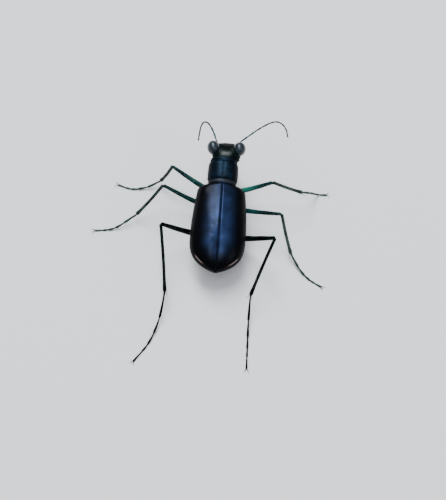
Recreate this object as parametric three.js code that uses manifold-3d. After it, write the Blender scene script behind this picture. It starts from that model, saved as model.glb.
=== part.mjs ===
// A tiger beetle standing high on long legs, life size, in millimetres, +Z up and +Y the way it faces.
// The origin is on the floor, under the middle of the box that holds the whole animal.
// The trunk is built level, with the front edge of the wing cases at y = 0, and a group then tips it head up
// and leans it a little to its right. The head is turned back so that its eyes are level.
// The legs are built where they stand on the floor, from the places of their joints.
import * as THREE from "three";
import { mergeVertices } from "three/addons/utils/BufferGeometryUtils.js";
import Module from "manifold-3d";

const wasm = await Module();
wasm.setup();

// Driving sizes
const GAP = 0.25; // kept between pieces that touch
const BODY_PITCH = THREE.MathUtils.degToRad(12); // head up
const BODY_LEAN = THREE.MathUtils.degToRad(5); // right side down
const STAND_HEIGHT = 4.1; // of the wing cases' front edge above the floor
const FLOOR_MIDDLE = new THREE.Vector2(-0.857, -4.488); // of the whole animal, from the wings' front edge
const HAIR_TIP = 0.03; // radius at which a point is cut off

const WING = {
  length: 7.62, // one wing case, from the shoulder to the tip
  collar: 1.2, // half width of the pair where it meets the waist
  shoulder: 1.92, // half width just behind the shoulder
  shoulderEnd: 0.45, // from the front edge
  widest: 2.29,
  widestAt: 0.585, // share of the length
  frontHeight: 1.0, // of the seam above the side edge
  height: 1.45,
  highestAt: 0.42, // share of the length
  tipHeight: 0.3,
  edge: -0.05, // height of the side edge
  thick: 0.5,
};
const SCUTELLUM = { halfWidth: 0.4, length: 0.8 };
const BELLY = {
  length: 7.2,
  front: 0.95, // half width at the waist
  waist: 1.2, // distance over which it reaches its full width
  share: 0.86, // of the wing cases' half width
  depth: 1.2, // under the wing cases' side edge
  deepestAt: 2.4, // from the front
  tailDepth: 0.42,
  hindWaist: 3.62, // where the thorax ends and the abdomen begins
  ringStart: 4.45,
  ringStep: 0.55,
  ringCount: 5,
  ringNotch: 0.07,
  ringWidth: 0.12,
};
const NECKSHIELD = {
  back: GAP, // from the wing cases' front edge
  length: 2.1,
  halfWidth: 1.1,
  bulge: 0.13,
  top: 0.98,
  bottom: -0.95,
  notch: 0.09,
  notchWidth: 0.05, // shares of the length
  backNotch: 0.13,
  frontNotch: 0.86,
  rounding: 0.08, // of its front and back edges
};
const HEAD = {
  shift: 0.15, // to the right of the trunk's middle
  back: new THREE.Vector3(0, 2.6, 0.1),
  bend: new THREE.Vector3(0, 3.62, 0.2),
  mouth: new THREE.Vector3(0, 3.86, -0.98),
  // at shares of the way to the mouth
  halfWidths: [[0, 1.1], [0.1, 1.15], [0.42, 0.76], [0.68, 0.8], [1, 0.64]],
  halfHeights: [[0, 0.82], [0.35, 0.78], [0.72, 0.58], [1, 0.44]],
  squareness: 3.2, // of its sections between the eyes
  hollow: 0.1, // depth of the dip between the eyes
  hollowAt: 0.45,
};
const EYE = { middle: new THREE.Vector3(1.1, 3.32, 0.62), radii: new THREE.Vector3(0.51, 0.6, 0.62) };
const LIP = { halfWidth: 0.62, thick: 0.4, out: 0.18, corner: 0.34, tooth: 0.64 };
const JAW = { root: 0.27, tip: 0.05, tooth: 0.12, teethAt: [0.42, 0.6, 0.77], reach: 0.42 };
const PALP = { root: 0.25, tip: 0.16, bead: 0.03, joints: 4 };

// Radii of the slender parts. Each is as thick as in life or 0.25, whichever is more, but for the tips.
const LEG = { socket: 0.52, thigh: 0.3, knee: 0.26, shin: 0.25, ankle: 0.26, sides: 9 };
const TOES = { first: 0.25, last: 0.16, joints: 5, bead: 0.035, sides: 7 };
const SPUR = { radius: 0.12, rootUp: 0.5, reach: 0.67, spread: 0.56 };
const CLAW = { radius: 0.1, back: 0.12, length: 0.46, spread: 0.26, arch: 0.06 };
const FEELER = { stem: 0.27, middle: 0.26, tip: 0.12, bead: 0.03, sides: 7 };

// A solid from vertices and triangles
function solidOf(geometry) {
  geometry.deleteAttribute("normal");
  geometry.deleteAttribute("uv");
  const merged = mergeVertices(geometry, 1e-4);
  return new wasm.Manifold(
    new wasm.Mesh({
      numProp: 3,
      vertProperties: merged.attributes.position.array,
      triVerts: new Uint32Array(merged.index.array),
    }),
  );
}

// A closed skin over rings of points that all have the same count, with a fan over each end
function loft(rings) {
  const count = rings[0].length;
  const middle = (ring) => ring.reduce((sum, p) => sum.add(p), new THREE.Vector3()).divideScalar(count);
  const points = [...rings.flat(), middle(rings[0]), middle(rings.at(-1))];
  const first = count * rings.length;
  const faces = [];
  for (let k = 0; k < count; k++) {
    const next = (k + 1) % count;
    for (let r = 0; r + 1 < rings.length; r++) {
      const a = r * count + k;
      const b = r * count + next;
      faces.push(a, b, a + count, b, b + count, a + count);
    }
    const last = first - count;
    faces.push(first, next, k, first + 1, last + k, last + next);
  }
  const geometry = new THREE.BufferGeometry().setFromPoints(points).setIndex(faces);
  const solid = solidOf(geometry);
  return solid.volume() > 0 ? solid : solidOf(geometry.setIndex(faces.reverse()));
}

// A tube along a curve, whose radius follows radiusAt(share)
function limb(curve, radiusAt, steps, sides) {
  const { normals, binormals } = curve.computeFrenetFrames(steps, false);
  const rings = normals.map((normal, i) => {
    const share = i / steps;
    const centre = curve.getPointAt(share);
    return Array.from({ length: sides }, (_, k) => {
      const turn = (2 * Math.PI * (k + 0.5)) / sides;
      return centre
        .clone()
        .addScaledVector(normal, Math.cos(turn) * radiusAt(share))
        .addScaledVector(binormals[i], Math.sin(turn) * radiusAt(share));
    });
  });
  return loft(rings);
}

const curveThrough = (points) => new THREE.CatmullRomCurve3(points, false, "centripetal");

// A value that runs smoothly through pairs of [share, value]
function profile(pairs) {
  const line = curveThrough(pairs.map(([x, y]) => new THREE.Vector3(x, y, 0)));
  const table = line.getPoints(20 * pairs.length);
  return (x) => {
    const i = Math.max(1, table.findIndex((p) => p.x >= x));
    const [a, b] = x >= table.at(-1).x ? table.slice(-2) : [table[i - 1], table[i]];
    const share = THREE.MathUtils.clamp((x - a.x) / (b.x - a.x || 1), 0, 1);
    return THREE.MathUtils.lerp(a.y, b.y, share);
  };
}

const largest = (solid) => solid.decompose().sort((a, b) => b.volume() - a.volume())[0];
const fuse = (solids) => largest(solids.reduce((a, b) => a.add(b)));
const cutAway = (solid, ...others) => largest(others.reduce((a, b) => a.subtract(b), solid));

// The part of a solid on the side of a plane that its normal points to
function keepSide(solid, normal, point) {
  const unit = normal.clone().normalize();
  return solid.trimByPlane(unit.toArray(), unit.dot(point));
}

// Sides of an oval with straighter flanks than an ellipse
const SQUARENESS = 2.3;
const squared = (value, power = SQUARENESS) => Math.sign(value) * Math.abs(value) ** (2 / power);
const notch = (distance, depth, width) => depth * Math.exp(-((distance / width) ** 2));

// Half width of the closed wing cases, at a distance behind their front edge
function wingHalfWidth(distance) {
  const share = THREE.MathUtils.clamp(distance / WING.length, 0, 1);
  if (share > WING.widestAt) {
    const past = (share - WING.widestAt) / (1 - WING.widestAt);
    return WING.widest * (1 - past ** 3.2) ** 0.72;
  }
  const spread = Math.sin((Math.PI / 2) * (share / WING.widestAt));
  const flank = THREE.MathUtils.lerp(WING.shoulder, WING.widest, spread);
  const corner = THREE.MathUtils.clamp(distance / WING.shoulderEnd, 0, 1);
  return THREE.MathUtils.lerp(WING.collar, flank, Math.sqrt(1 - (1 - corner) ** 2));
}

// Height of the seam between the wing cases over their side edge
function wingHeight(distance) {
  const share = THREE.MathUtils.clamp(distance / WING.length, 0, 1);
  if (share < WING.highestAt) {
    const rise = Math.sin((Math.PI / 2) * (share / WING.highestAt));
    return THREE.MathUtils.lerp(WING.frontHeight, WING.height, rise);
  }
  const past = (share - WING.highestAt) / (1 - WING.highestAt);
  return WING.tipHeight + (WING.height - WING.tipHeight) * (1 - past ** 2.4) ** 0.8;
}

// The closed dome of the wing cases, shrunk by inset, from one distance to another and down to a flat bottom
function dome(inset, from, to, bottom, steps = 15, arch = 16) {
  const rings = Array.from({ length: steps + 1 }, (_, i) => {
    const distance = THREE.MathUtils.lerp(from, to, (1 - Math.cos(Math.PI * (i / steps))) / 2);
    const half = Math.max(0.04, wingHalfWidth(distance) - inset);
    const height = Math.max(0.04, wingHeight(distance) - inset);
    const ring = Array.from({ length: arch + 1 }, (_, k) => {
      const turn = (Math.PI * k) / arch;
      const z = WING.edge + squared(Math.sin(turn)) * height;
      return new THREE.Vector3(half * squared(Math.cos(turn)), -distance, z);
    });
    return [...ring, new THREE.Vector3(-half, -distance, bottom), new THREE.Vector3(half, -distance, bottom)];
  });
  return loft(rings);
}

// The underside, with a notch between each two plates of the abdomen, grown by grow
function belly(grow = 0) {
  const top = WING.edge - GAP;
  const steps = 30;
  const arch = 12;
  const rings = Array.from({ length: steps + 1 }, (_, i) => {
    const distance = (BELLY.length * i) / steps;
    const narrow = Math.min(1, distance / BELLY.waist);
    const half = THREE.MathUtils.lerp(BELLY.front, BELLY.share * wingHalfWidth(distance), narrow) + grow;
    const past = Math.max(0, (distance - BELLY.deepestAt) / (BELLY.length - BELLY.deepestAt));
    let depth = THREE.MathUtils.lerp(BELLY.depth, BELLY.tailDepth, past ** 1.7) + grow;
    for (let r = 0; r < BELLY.ringCount; r++) {
      depth -= notch(distance - BELLY.ringStart - r * BELLY.ringStep, BELLY.ringNotch, BELLY.ringWidth);
    }
    return Array.from({ length: arch + 1 }, (_, k) => {
      const turn = (Math.PI * k) / arch;
      const z = top - depth * squared(Math.sin(turn));
      return new THREE.Vector3(half * squared(Math.cos(turn)), -distance, z);
    });
  });
  return loft(rings);
}

// The neck shield and the first ring of the thorax under it, grown by grow
function neckShield(grow = 0) {
  const steps = 15;
  const rings = Array.from({ length: steps + 1 }, (_, i) => {
    const share = i / steps;
    const dip =
      notch(share - NECKSHIELD.backNotch, NECKSHIELD.notch, NECKSHIELD.notchWidth) +
      notch(share - NECKSHIELD.frontNotch, NECKSHIELD.notch, NECKSHIELD.notchWidth);
    const swell = NECKSHIELD.bulge * Math.sin(Math.PI * share) - dip + grow;
    const rounding = share === 0 || share === 1 ? NECKSHIELD.rounding : 0;
    const half = NECKSHIELD.halfWidth + swell - rounding;
    const top = NECKSHIELD.top + swell - rounding;
    const bottom = NECKSHIELD.bottom - grow + rounding;
    const y = NECKSHIELD.back + NECKSHIELD.length * share + grow * (2 * share - 1);
    return ovalRing(new THREE.Vector3(0, y, (top + bottom) / 2), half, (top - bottom) / 2, 0, 20);
  });
  return loft(rings);
}

// An upright oval of points across the body, tipped forward by pitch
function ovalRing(centre, halfWidth, halfHeight, pitch, count, power = SQUARENESS) {
  return Array.from({ length: count }, (_, k) => {
    const turn = (2 * Math.PI * k) / count;
    const up = halfHeight * squared(Math.sin(turn), power);
    return new THREE.Vector3(
      centre.x + halfWidth * squared(Math.cos(turn), power),
      centre.y + up * Math.sin(pitch),
      centre.z + up * Math.cos(pitch),
    );
  });
}

// The head capsule along a line that bends from the neck down to the mouth, grown by grow
function headCapsule(grow = 0) {
  const line = new THREE.QuadraticBezierCurve3(HEAD.back, HEAD.bend, HEAD.mouth);
  const width = profile(HEAD.halfWidths);
  const height = profile(HEAD.halfHeights);
  const steps = 14;
  const rings = Array.from({ length: steps + 1 }, (_, i) => {
    const share = i / steps;
    const slope = line.getTangentAt(share);
    const pitch = Math.atan2(-slope.z, slope.y);
    const centre = line.getPointAt(share).addScaledVector(slope, grow * (2 * share - 1));
    const power = THREE.MathUtils.lerp(SQUARENESS, HEAD.squareness, notch(share - HEAD.hollowAt, 1, 0.25));
    const ring = ovalRing(centre, width(share) + grow, height(share) + grow, pitch, 20, power);
    const dip = HEAD.hollow * notch(share - HEAD.hollowAt, 1, 0.2);
    for (const spot of ring) {
      if (spot.z > centre.z) spot.z -= dip * notch(spot.x, 1, 0.4);
    }
    return ring;
  });
  return loft(rings);
}

// An egg with its middle at a point
function egg(middle, radii, across = 14, down = 10) {
  const geometry = new THREE.SphereGeometry(1, across, down).scale(radii.x, radii.y, radii.z);
  return solidOf(geometry.translate(middle.x, middle.y, middle.z));
}

const point = (x, y, z) => new THREE.Vector3(x, y, z);
const mirrorX = (spot, side) => point(spot.x * side, spot.y, spot.z);

// A tapering point that bends from its root to its tip
function thorn(root, bend, tip, radius, sides = 6, steps = 4) {
  const curve = new THREE.QuadraticBezierCurve3(root, bend, tip);
  return limb(curve, (share) => THREE.MathUtils.lerp(radius, HAIR_TIP, share), steps, sides);
}

// How the trunk is tipped and leant, and where a point of the level trunk is once it is held so
const TRUNK_TURN = new THREE.Quaternion().setFromEuler(new THREE.Euler(BODY_PITCH, BODY_LEAN, 0));
const onFloor = (p) => p.clone().applyQuaternion(TRUNK_TURN).add(point(0, 0, STAND_HEIGHT));

const steel = (color) => new THREE.MeshStandardMaterial({ color, roughness: 0.28, metalness: 0.6 });
const FINISH = {
  wingCase: steel(0x1b2750),
  foreBody: steel(0x20323c),
  leg: steel(0x0f4038),
  hindLeg: steel(0x0c1a18),
  feelerStem: steel(0x15403a),
  feelerEnd: new THREE.MeshStandardMaterial({ color: 0x2a2a26, roughness: 0.7, metalness: 0 }),
  eye: new THREE.MeshStandardMaterial({ color: 0x1a1c1e, roughness: 0.2, metalness: 0 }),
  lip: new THREE.MeshStandardMaterial({ color: 0xd8cda8, roughness: 0.4, metalness: 0 }),
  jaw: new THREE.MeshStandardMaterial({ color: 0x2b1c12, roughness: 0.3, metalness: 0 }),
  abdomen: new THREE.MeshStandardMaterial({ color: 0x7a2f18, roughness: 0.35, metalness: 0.2 }),
};

function meshOf(name, solid, material) {
  const { vertProperties, triVerts, numProp } = solid.getMesh();
  const positions = new Float32Array((vertProperties.length / numProp) * 3);
  for (let i = 0; i < positions.length / 3; i++) {
    positions.set(vertProperties.subarray(i * numProp, i * numProp + 3), i * 3);
  }
  const geometry = new THREE.BufferGeometry();
  geometry.setAttribute("position", new THREE.BufferAttribute(positions, 3));
  geometry.setIndex(new THREE.BufferAttribute(triVerts, 1));
  geometry.computeVertexNormals();
  const mesh = new THREE.Mesh(geometry, material);
  mesh.name = name;
  return mesh;
}

const beetle = new THREE.Group();
const trunk = new THREE.Group();
trunk.quaternion.copy(TRUNK_TURN);
trunk.position.z = STAND_HEIGHT;
beetle.add(trunk);
beetle.position.set(-FLOOR_MIDDLE.x, -FLOOR_MIDDLE.y, 0);

const SIDES = { left: -1, right: 1 };

// Wing cases and scutellum
function buildWings() {
  const wedge = (grow) => {
    const half = SCUTELLUM.halfWidth + grow;
    const tip = SCUTELLUM.length + 2 * grow;
    const outline = new THREE.Shape([
      new THREE.Vector2(-half, half),
      new THREE.Vector2(half, half),
      new THREE.Vector2(half, 0),
      new THREE.Vector2(0, -tip),
      new THREE.Vector2(-half, 0),
    ]);
    return solidOf(new THREE.ExtrudeGeometry(outline, { depth: 2, bevelEnabled: false }));
  };
  const outer = dome(0, 0, WING.length - 0.01, WING.edge - 0.02);
  const inner = dome(WING.thick, -0.4, WING.length - WING.thick, -1, 10, 12);
  const shell = outer.subtract(inner).subtract(wedge(GAP));
  for (const [name, side] of Object.entries(SIDES)) {
    const half = keepSide(shell, point(side, 0, 0), point((side * GAP) / 2, 0, 0));
    trunk.add(meshOf(`wing_case_${name}`, largest(half), FINISH.wingCase));
  }
  const underWing = dome(WING.thick + GAP, -0.4, WING.length - WING.thick - GAP, -1, 8, 12);
  const shield = keepSide(wedge(0).intersect(outer), point(0, -1, 0), point(0, 0, 0));
  trunk.add(meshOf("scutellum", cutAway(shield, underWing.translate([0, 0, GAP])), FINISH.foreBody));
}

// Thorax and abdomen, parted behind the hind hips, and the neck shield
function buildTrunk() {
  const underWing = dome(WING.thick + GAP, 0, WING.length - WING.thick - GAP, WING.edge - 2 * GAP, 10, 12);
  const whole = underWing.add(belly());
  const waist = point(0, -BELLY.hindWaist, 0);
  const thorax = keepSide(whole, point(0, 1, 0), waist);
  const abdomen = keepSide(whole, point(0, -1, 0), waist.clone().sub(point(0, GAP, 0)));
  trunk.add(meshOf("thorax", largest(thorax), FINISH.foreBody));
  trunk.add(meshOf("abdomen", largest(abdomen), FINISH.abdomen));
  trunk.add(meshOf("neck_shield", neckShield(), FINISH.foreBody));
}

// Head with eyes, lip, jaws and palps, in a group that stands a little to the right of the trunk's middle.
// What it gives back is the room that the head takes over the floor, for the feelers to keep clear of.
function buildHead() {
  const group = new THREE.Group();
  group.position.x = HEAD.shift;
  group.rotation.y = -BODY_LEAN;
  trunk.add(group);
  const clear = headCapsule(GAP);
  group.add(meshOf("head", headCapsule(), FINISH.foreBody));
  const down = new THREE.Vector3().subVectors(HEAD.mouth, HEAD.bend).normalize();
  const ahead = point(0, -down.z, down.y);
  const place = (x, out, along) =>
    HEAD.mouth.clone().add(point(x, 0, 0)).addScaledVector(ahead, out).addScaledVector(down, along);
  group.add(meshOf("upper_lip", upperLip(down, place(0, LIP.out, GAP)), FINISH.lip));
  for (const [name, side] of Object.entries(SIDES)) {
    const at = (x, out, along) => place(side * x, out, along);
    const eye = egg(mirrorX(EYE.middle, side), EYE.radii);
    const jaw = sickleJaw(at, side, down);
    const cheekPalp = palp([
      at(0.45, -0.5, -0.2), at(0.85, -0.7, 0.35), at(1.0, -0.62, 1.0), at(0.9, -0.45, 1.55),
    ]);
    const chinPalp = palp([
      at(0.25, -0.55, -0.3), at(0.3, -0.95, 0.3), at(0.38, -1.0, 0.85), at(0.34, -0.85, 1.3),
    ]);
    group.add(meshOf(`eye_${name}`, cutAway(eye, clear), FINISH.eye));
    group.add(meshOf(`jaw_${name}`, cutAway(jaw, clear), FINISH.jaw));
    group.add(meshOf(`cheek_palp_${name}`, cutAway(cheekPalp, clear), FINISH.feelerStem));
    group.add(meshOf(`chin_palp_${name}`, cutAway(chinPalp, clear), FINISH.lip));
  }
  group.updateMatrix();
  trunk.updateMatrix();
  return clear.transform(new THREE.Matrix4().multiplyMatrices(trunk.matrix, group.matrix).toArray());
}

// The upper lip: a plate with one long and two short teeth on its edge, which hangs down from a place
function upperLip(down, hangsFrom) {
  const { halfWidth, corner, tooth, thick } = LIP;
  const half = [
    [halfWidth, 0], [halfWidth - 0.06, corner], [0.3, corner + 0.1], [0.22, corner + 0.2],
    [0.1, tooth - 0.14],
  ];
  const across = (side) => half.map(([x, y]) => new THREE.Vector2(side * x, y));
  const outline = new THREE.Shape([...across(1), new THREE.Vector2(0, tooth), ...across(-1).reverse()]);
  const plate = new THREE.ExtrudeGeometry(outline, { depth: thick, bevelEnabled: false });
  const ahead = point(0, -down.z, down.y);
  const frame = new THREE.Matrix4().makeBasis(point(1, 0, 0), down, ahead).setPosition(hangsFrom);
  return solidOf(plate.applyMatrix4(frame));
}

// A jaw like a sickle, with teeth on its inner edge
function sickleJaw(at, side, down) {
  const line = curveThrough([
    at(0.44, -0.2, 0), at(0.66, -0.22, 0.6), at(0.56, -0.2, 1.15), at(0.2, -0.12, 1.55),
  ]);
  const blade = limb(line, (share) => THREE.MathUtils.lerp(JAW.root, JAW.tip, share ** 1.6), 10, 8);
  const teeth = JAW.teethAt.map((share, i) => {
    const root = line.getPointAt(share);
    const inward = side * (0.16 + 0.05 * i - JAW.reach);
    const tip = root.clone().add(point(inward, 0, 0)).addScaledVector(down, JAW.tooth);
    return thorn(root, root.clone().lerp(tip, 0.5), tip, JAW.tooth, 5, 2);
  });
  return fuse([blade, ...teeth]);
}

// A palp: a short feeler by the mouth, a little thicker in the middle of each joint
function palp(points) {
  const bead = (share) => PALP.bead * Math.cos(2 * Math.PI * PALP.joints * share);
  const radius = (share) => THREE.MathUtils.lerp(PALP.root, PALP.tip, share) - bead(share);
  return limb(curveThrough(points), radius, 4 * PALP.joints, 7);
}

// Feelers of eleven joints: a shiny stem of four and a dull outer length of seven
const FEELER_LINES = {
  left: [
    point(-0.5, 3.35, 4.75), point(-0.7, 3.85, 5.1), point(-1.1, 4.75, 5.45), point(-1.51, 5.45, 5.5),
    point(-1.92, 5.84, 5.2), point(-2.2, 5.87, 4.6), point(-2.34, 5.72, 3.8), point(-2.44, 5.45, 3.0),
  ],
  right: [
    point(0.5, 3.35, 4.75), point(1.1, 3.85, 5.15), point(1.82, 4.38, 5.45), point(2.85, 5.25, 5.62),
    point(3.9, 6.05, 5.5), point(4.55, 6.22, 5.15), point(5.0, 5.98, 4.65), point(5.18, 5.6, 4.05),
  ],
};
const STEM_SHARE = 0.38;

function buildFeelers(headClear) {
  for (const [name, points] of Object.entries(FEELER_LINES)) {
    const line = curveThrough(points);
    const stretch = (from, to, joints, thickFrom, thickTo) => {
      const part = curveThrough(
        Array.from({ length: 12 }, (_, i) => line.getPointAt(THREE.MathUtils.lerp(from, to, i / 11))),
      );
      const bead = (share) => FEELER.bead * Math.cos(2 * Math.PI * joints * share);
      const radius = (share) => THREE.MathUtils.lerp(thickFrom, thickTo, share ** 4) - bead(share);
      return limb(part, radius, joints * 4, FEELER.sides);
    };
    const gapShare = GAP / line.getLength();
    const stem = stretch(0, STEM_SHARE, 4, FEELER.stem, FEELER.middle);
    const outer = stretch(STEM_SHARE + gapShare, 1, 7, FEELER.middle, FEELER.tip);
    beetle.add(meshOf(`feeler_stem_${name}`, cutAway(stem, headClear), FINISH.feelerStem));
    beetle.add(meshOf(`feeler_end_${name}`, outer, FINISH.feelerEnd));
  }
}

// Legs. Hips are given on the level trunk, and the other joints where they stand over the floor.
const LEGS = {
  front_left: {
    socket: point(-0.6, 1.1, -0.7), hip: point(-0.92, 0.3, -1.75), finish: "leg",
    knee: point(-4.4, 2.6, 3.0), ankle: point(-5.42, 2.62, 0.75),
    foot: [point(-6.56, 2.2, 0.3), point(-7.87, 2.01, 0.13), point(-9.04, 2.32, 0.13)],
  },
  front_right: {
    socket: point(0.6, 1.1, -0.7), hip: point(0.92, 0.3, -1.75), finish: "leg",
    knee: point(4.22, 1.12, 3.7), ankle: point(6.7, 1.2, 2.35),
    foot: [point(7.4, 1.95, 1.25), point(8.0, 2.55, 0.28), point(8.7, 2.66, 0.13)],
  },
  middle_left: {
    socket: point(-0.8, -0.7, -0.9), hip: point(-1.2, -1.05, -1.9), finish: "leg",
    knee: point(-4.98, 0.27, 3.5), ankle: point(-7.17, -1.04, 0.8),
    foot: [point(-8.7, -2.08, 0.32), point(-9.6, -2.33, 0.13), point(-10.57, -2.48, 0.13)],
  },
  middle_right: {
    socket: point(0.8, -0.7, -0.9), hip: point(1.2, -1.05, -1.9), finish: "leg",
    knee: point(5.16, -1.9, 3.5), ankle: point(6.1, -4.0, 0.8),
    foot: [point(6.92, -5.15, 0.32), point(7.75, -5.98, 0.13), point(8.81, -6.65, 0.13)],
  },
  hind_left: {
    socket: point(-0.75, -3.0, -0.9), hip: point(-1.35, -3.7, -1.85), finish: "hindLeg",
    knee: point(-4.73, -4.35, 4.6), ankle: point(-4.04, -9.03, 1.5),
    foot: [point(-4.35, -11.1, 0.62), point(-5.01, -13.11, 0.16), point(-6.11, -14.99, 0.13)],
  },
  hind_right: {
    socket: point(0.75, -3.0, -0.9), hip: point(1.35, -3.7, -1.85), finish: "hindLeg",
    knee: point(4.8, -5.1, 4.7), ankle: point(3.05, -8.82, 1.5),
    foot: [point(3.02, -10.79, 0.62), point(3.09, -12.87, 0.16), point(3.17, -15.0, 0.13)],
  },
};

// A plane through a joint that halves the angle between two limbs, facing along the outer limb
function mitre(before, joint, after) {
  const inward = new THREE.Vector3().subVectors(joint, before).normalize();
  const outward = new THREE.Vector3().subVectors(after, joint).normalize();
  return inward.add(outward).normalize();
}

function buildLeg(name, leg, clearTrunk) {
  const finish = FINISH[leg.finish];
  const hip = onFloor(leg.hip);
  const hipPlane = mitre(onFloor(leg.socket), hip, leg.knee);
  const kneePlane = mitre(hip, leg.knee, leg.ankle);
  const anklePlane = mitre(leg.knee, leg.ankle, leg.foot[0]);
  const way = (from, to) => new THREE.Vector3().subVectors(to, from).normalize();
  const beyond = (from, to, extra) => to.clone().addScaledVector(way(from, to), extra);
  const trimmed = (solid, startPlane, start, endPlane, end) => {
    const startPoint = start.clone().addScaledVector(startPlane, GAP / 2);
    const endPoint = end.clone().addScaledVector(endPlane, -GAP / 2);
    const open = keepSide(solid, startPlane, startPoint);
    return largest(keepSide(open, endPlane.clone().negate(), endPoint));
  };

  const hipLine = new THREE.LineCurve3(leg.socket, beyond(leg.socket, leg.hip, 0.5));
  const hipSolid = limb(hipLine, (share) => THREE.MathUtils.lerp(LEG.socket, LEG.thigh, share), 5, LEG.sides);
  const levelPlane = hipPlane.clone().applyQuaternion(TRUNK_TURN.clone().invert());
  const hipCut = leg.hip.clone().addScaledVector(levelPlane, -GAP / 2);
  const shortHip = keepSide(hipSolid, levelPlane.clone().negate(), hipCut);
  trunk.add(meshOf(`hip_${name}`, cutAway(shortHip, ...clearTrunk), finish));

  const sag = hip.clone().lerp(leg.knee, 0.45).add(point(0, 0, -0.12));
  const thighLine = curveThrough([beyond(leg.knee, hip, 0.3), sag, beyond(hip, leg.knee, 0.3)]);
  const thighRadius = profile([[0, LEG.thigh], [0.3, LEG.thigh + 0.03], [0.8, LEG.knee], [1, LEG.knee]]);
  const thigh = limb(thighLine, thighRadius, 9, LEG.sides);
  beetle.add(meshOf(`thigh_${name}`, trimmed(thigh, hipPlane, hip, kneePlane, leg.knee), finish));

  const shinLine = new THREE.LineCurve3(beyond(leg.ankle, leg.knee, 0.3), beyond(leg.knee, leg.ankle, 0.3));
  const shin = limb(shinLine, (share) => THREE.MathUtils.lerp(LEG.shin, LEG.ankle, share), 4, LEG.sides);
  const shank = trimmed(shin, kneePlane, leg.knee, anklePlane, leg.ankle);
  const down = way(leg.knee, leg.ankle);
  const across = new THREE.Vector3().crossVectors(down, anklePlane).normalize();
  const under = new THREE.Vector3().crossVectors(across, down).normalize();
  const spurs = [-1, 1].map((side) => {
    const root = leg.ankle.clone().addScaledVector(down, -SPUR.rootUp).addScaledVector(under, 0.05);
    const tip = root.clone().addScaledVector(across, side * SPUR.spread).addScaledVector(down, SPUR.reach);
    const bend = root.clone().lerp(tip, 0.5).addScaledVector(across, side * 0.1);
    return thorn(root, bend, tip, SPUR.radius, 5, 2);
  });
  beetle.add(meshOf(`shin_${name}`, fuse([shank, ...spurs]), finish));

  const footLine = curveThrough([beyond(leg.foot[0], leg.ankle, 0.3), leg.ankle, ...leg.foot]);
  const bead = (share) => TOES.bead * Math.cos(2 * Math.PI * TOES.joints * share);
  const toeRadius = (share) => THREE.MathUtils.lerp(TOES.first, TOES.last, share ** 4) - bead(share);
  const foot = limb(footLine, toeRadius, 4 * TOES.joints, TOES.sides);
  const opened = keepSide(foot, anklePlane, leg.ankle.clone().addScaledVector(anklePlane, GAP / 2));
  const [heel, toe] = leg.foot.slice(-2);
  const ahead = new THREE.Vector3().subVectors(toe, heel).setZ(0).normalize();
  const aside = point(-ahead.y, ahead.x, 0);
  const claws = [-1, 1].map((side) => {
    const root = toe.clone().addScaledVector(ahead, -CLAW.back);
    const tip = root.clone().addScaledVector(ahead, CLAW.length).addScaledVector(aside, side * CLAW.spread);
    const bend = root.clone().lerp(tip, 0.65).addScaledVector(aside, -side * 0.25 * CLAW.spread);
    return thorn(root, bend.add(point(0, 0, CLAW.arch)), tip.setZ(HAIR_TIP), CLAW.radius, 5, 3);
  });
  const sole = keepSide(fuse([largest(opened), ...claws]), point(0, 0, 1), point(0, 0, 0));
  beetle.add(meshOf(`foot_${name}`, largest(sole), finish));
}

buildWings();
buildTrunk();
buildFeelers(buildHead());
for (const [name, leg] of Object.entries(LEGS)) {
  buildLeg(name, leg, [neckShield(GAP), belly(GAP)]);
}

export default beetle;
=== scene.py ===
"""A tiger beetle standing on its feet, life size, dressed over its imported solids.

Shapes are worked out in millimetres: the trunk in a level frame whose origin is the front edge of
the wing cases, the legs and feelers in the same frame standing on the floor. A stance turns both
into the model's metres.
"""

from __future__ import annotations

import logging
import math
import random
from collections.abc import Callable, Sequence
from dataclasses import dataclass, field
from enum import Enum

import bmesh
import bpy
import numpy as np
from mathutils import Matrix, Vector

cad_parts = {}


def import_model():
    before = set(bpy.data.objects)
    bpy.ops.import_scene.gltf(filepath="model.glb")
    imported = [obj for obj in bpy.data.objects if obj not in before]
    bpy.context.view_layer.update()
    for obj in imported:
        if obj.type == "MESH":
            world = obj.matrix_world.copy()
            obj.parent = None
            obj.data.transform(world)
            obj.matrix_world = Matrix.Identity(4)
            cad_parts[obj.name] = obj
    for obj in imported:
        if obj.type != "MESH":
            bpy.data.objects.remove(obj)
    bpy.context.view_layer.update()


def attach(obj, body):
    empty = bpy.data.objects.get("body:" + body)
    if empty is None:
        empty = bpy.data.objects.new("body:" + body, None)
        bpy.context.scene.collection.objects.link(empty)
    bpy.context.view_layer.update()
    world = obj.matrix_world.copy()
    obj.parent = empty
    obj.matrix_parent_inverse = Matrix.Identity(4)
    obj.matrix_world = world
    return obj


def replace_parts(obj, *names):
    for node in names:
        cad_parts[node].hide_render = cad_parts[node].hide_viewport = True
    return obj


LOG = logging.getLogger("tiger_beetle")
MM = 0.001
BODY = "root"
UP = Vector((0, 0, 1))
RIGHT = Vector((1, 0, 0))
AHEAD = Vector((0, 1, 0))
SIDES = {"left": -1, "right": 1}
BAKE_MAP = "OFBake"
MERGE_MM = 1e-4
Tree = bpy.types.NodeTree
Socket = bpy.types.NodeSocket
Spot = tuple[float, float, float]
Profile = tuple[tuple[float, float], ...]
Turned = Callable[[float, float], float]
Placed = Callable[[float, float], Vector]
SMOOTH_STEP = {"interpolation_type": "SMOOTHSTEP"}
TIMES = {"operation": "MULTIPLY"}
COLOURS = {"data_type": "RGBA"}


def clamp(value: float, low: float = 0.0, high: float = 1.0) -> float:
    """Keep a value between two limits."""
    return max(low, min(high, value))


def mix(start: float, end: float, share: float) -> float:
    """Go from one value to another by a share."""
    return start + (end - start) * share


def ease(low: float, high: float, value: float) -> float:
    """Rise smoothly from 0 at low to 1 at high."""
    share = clamp((value - low) / (high - low))
    return share * share * (3 - 2 * share)


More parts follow.
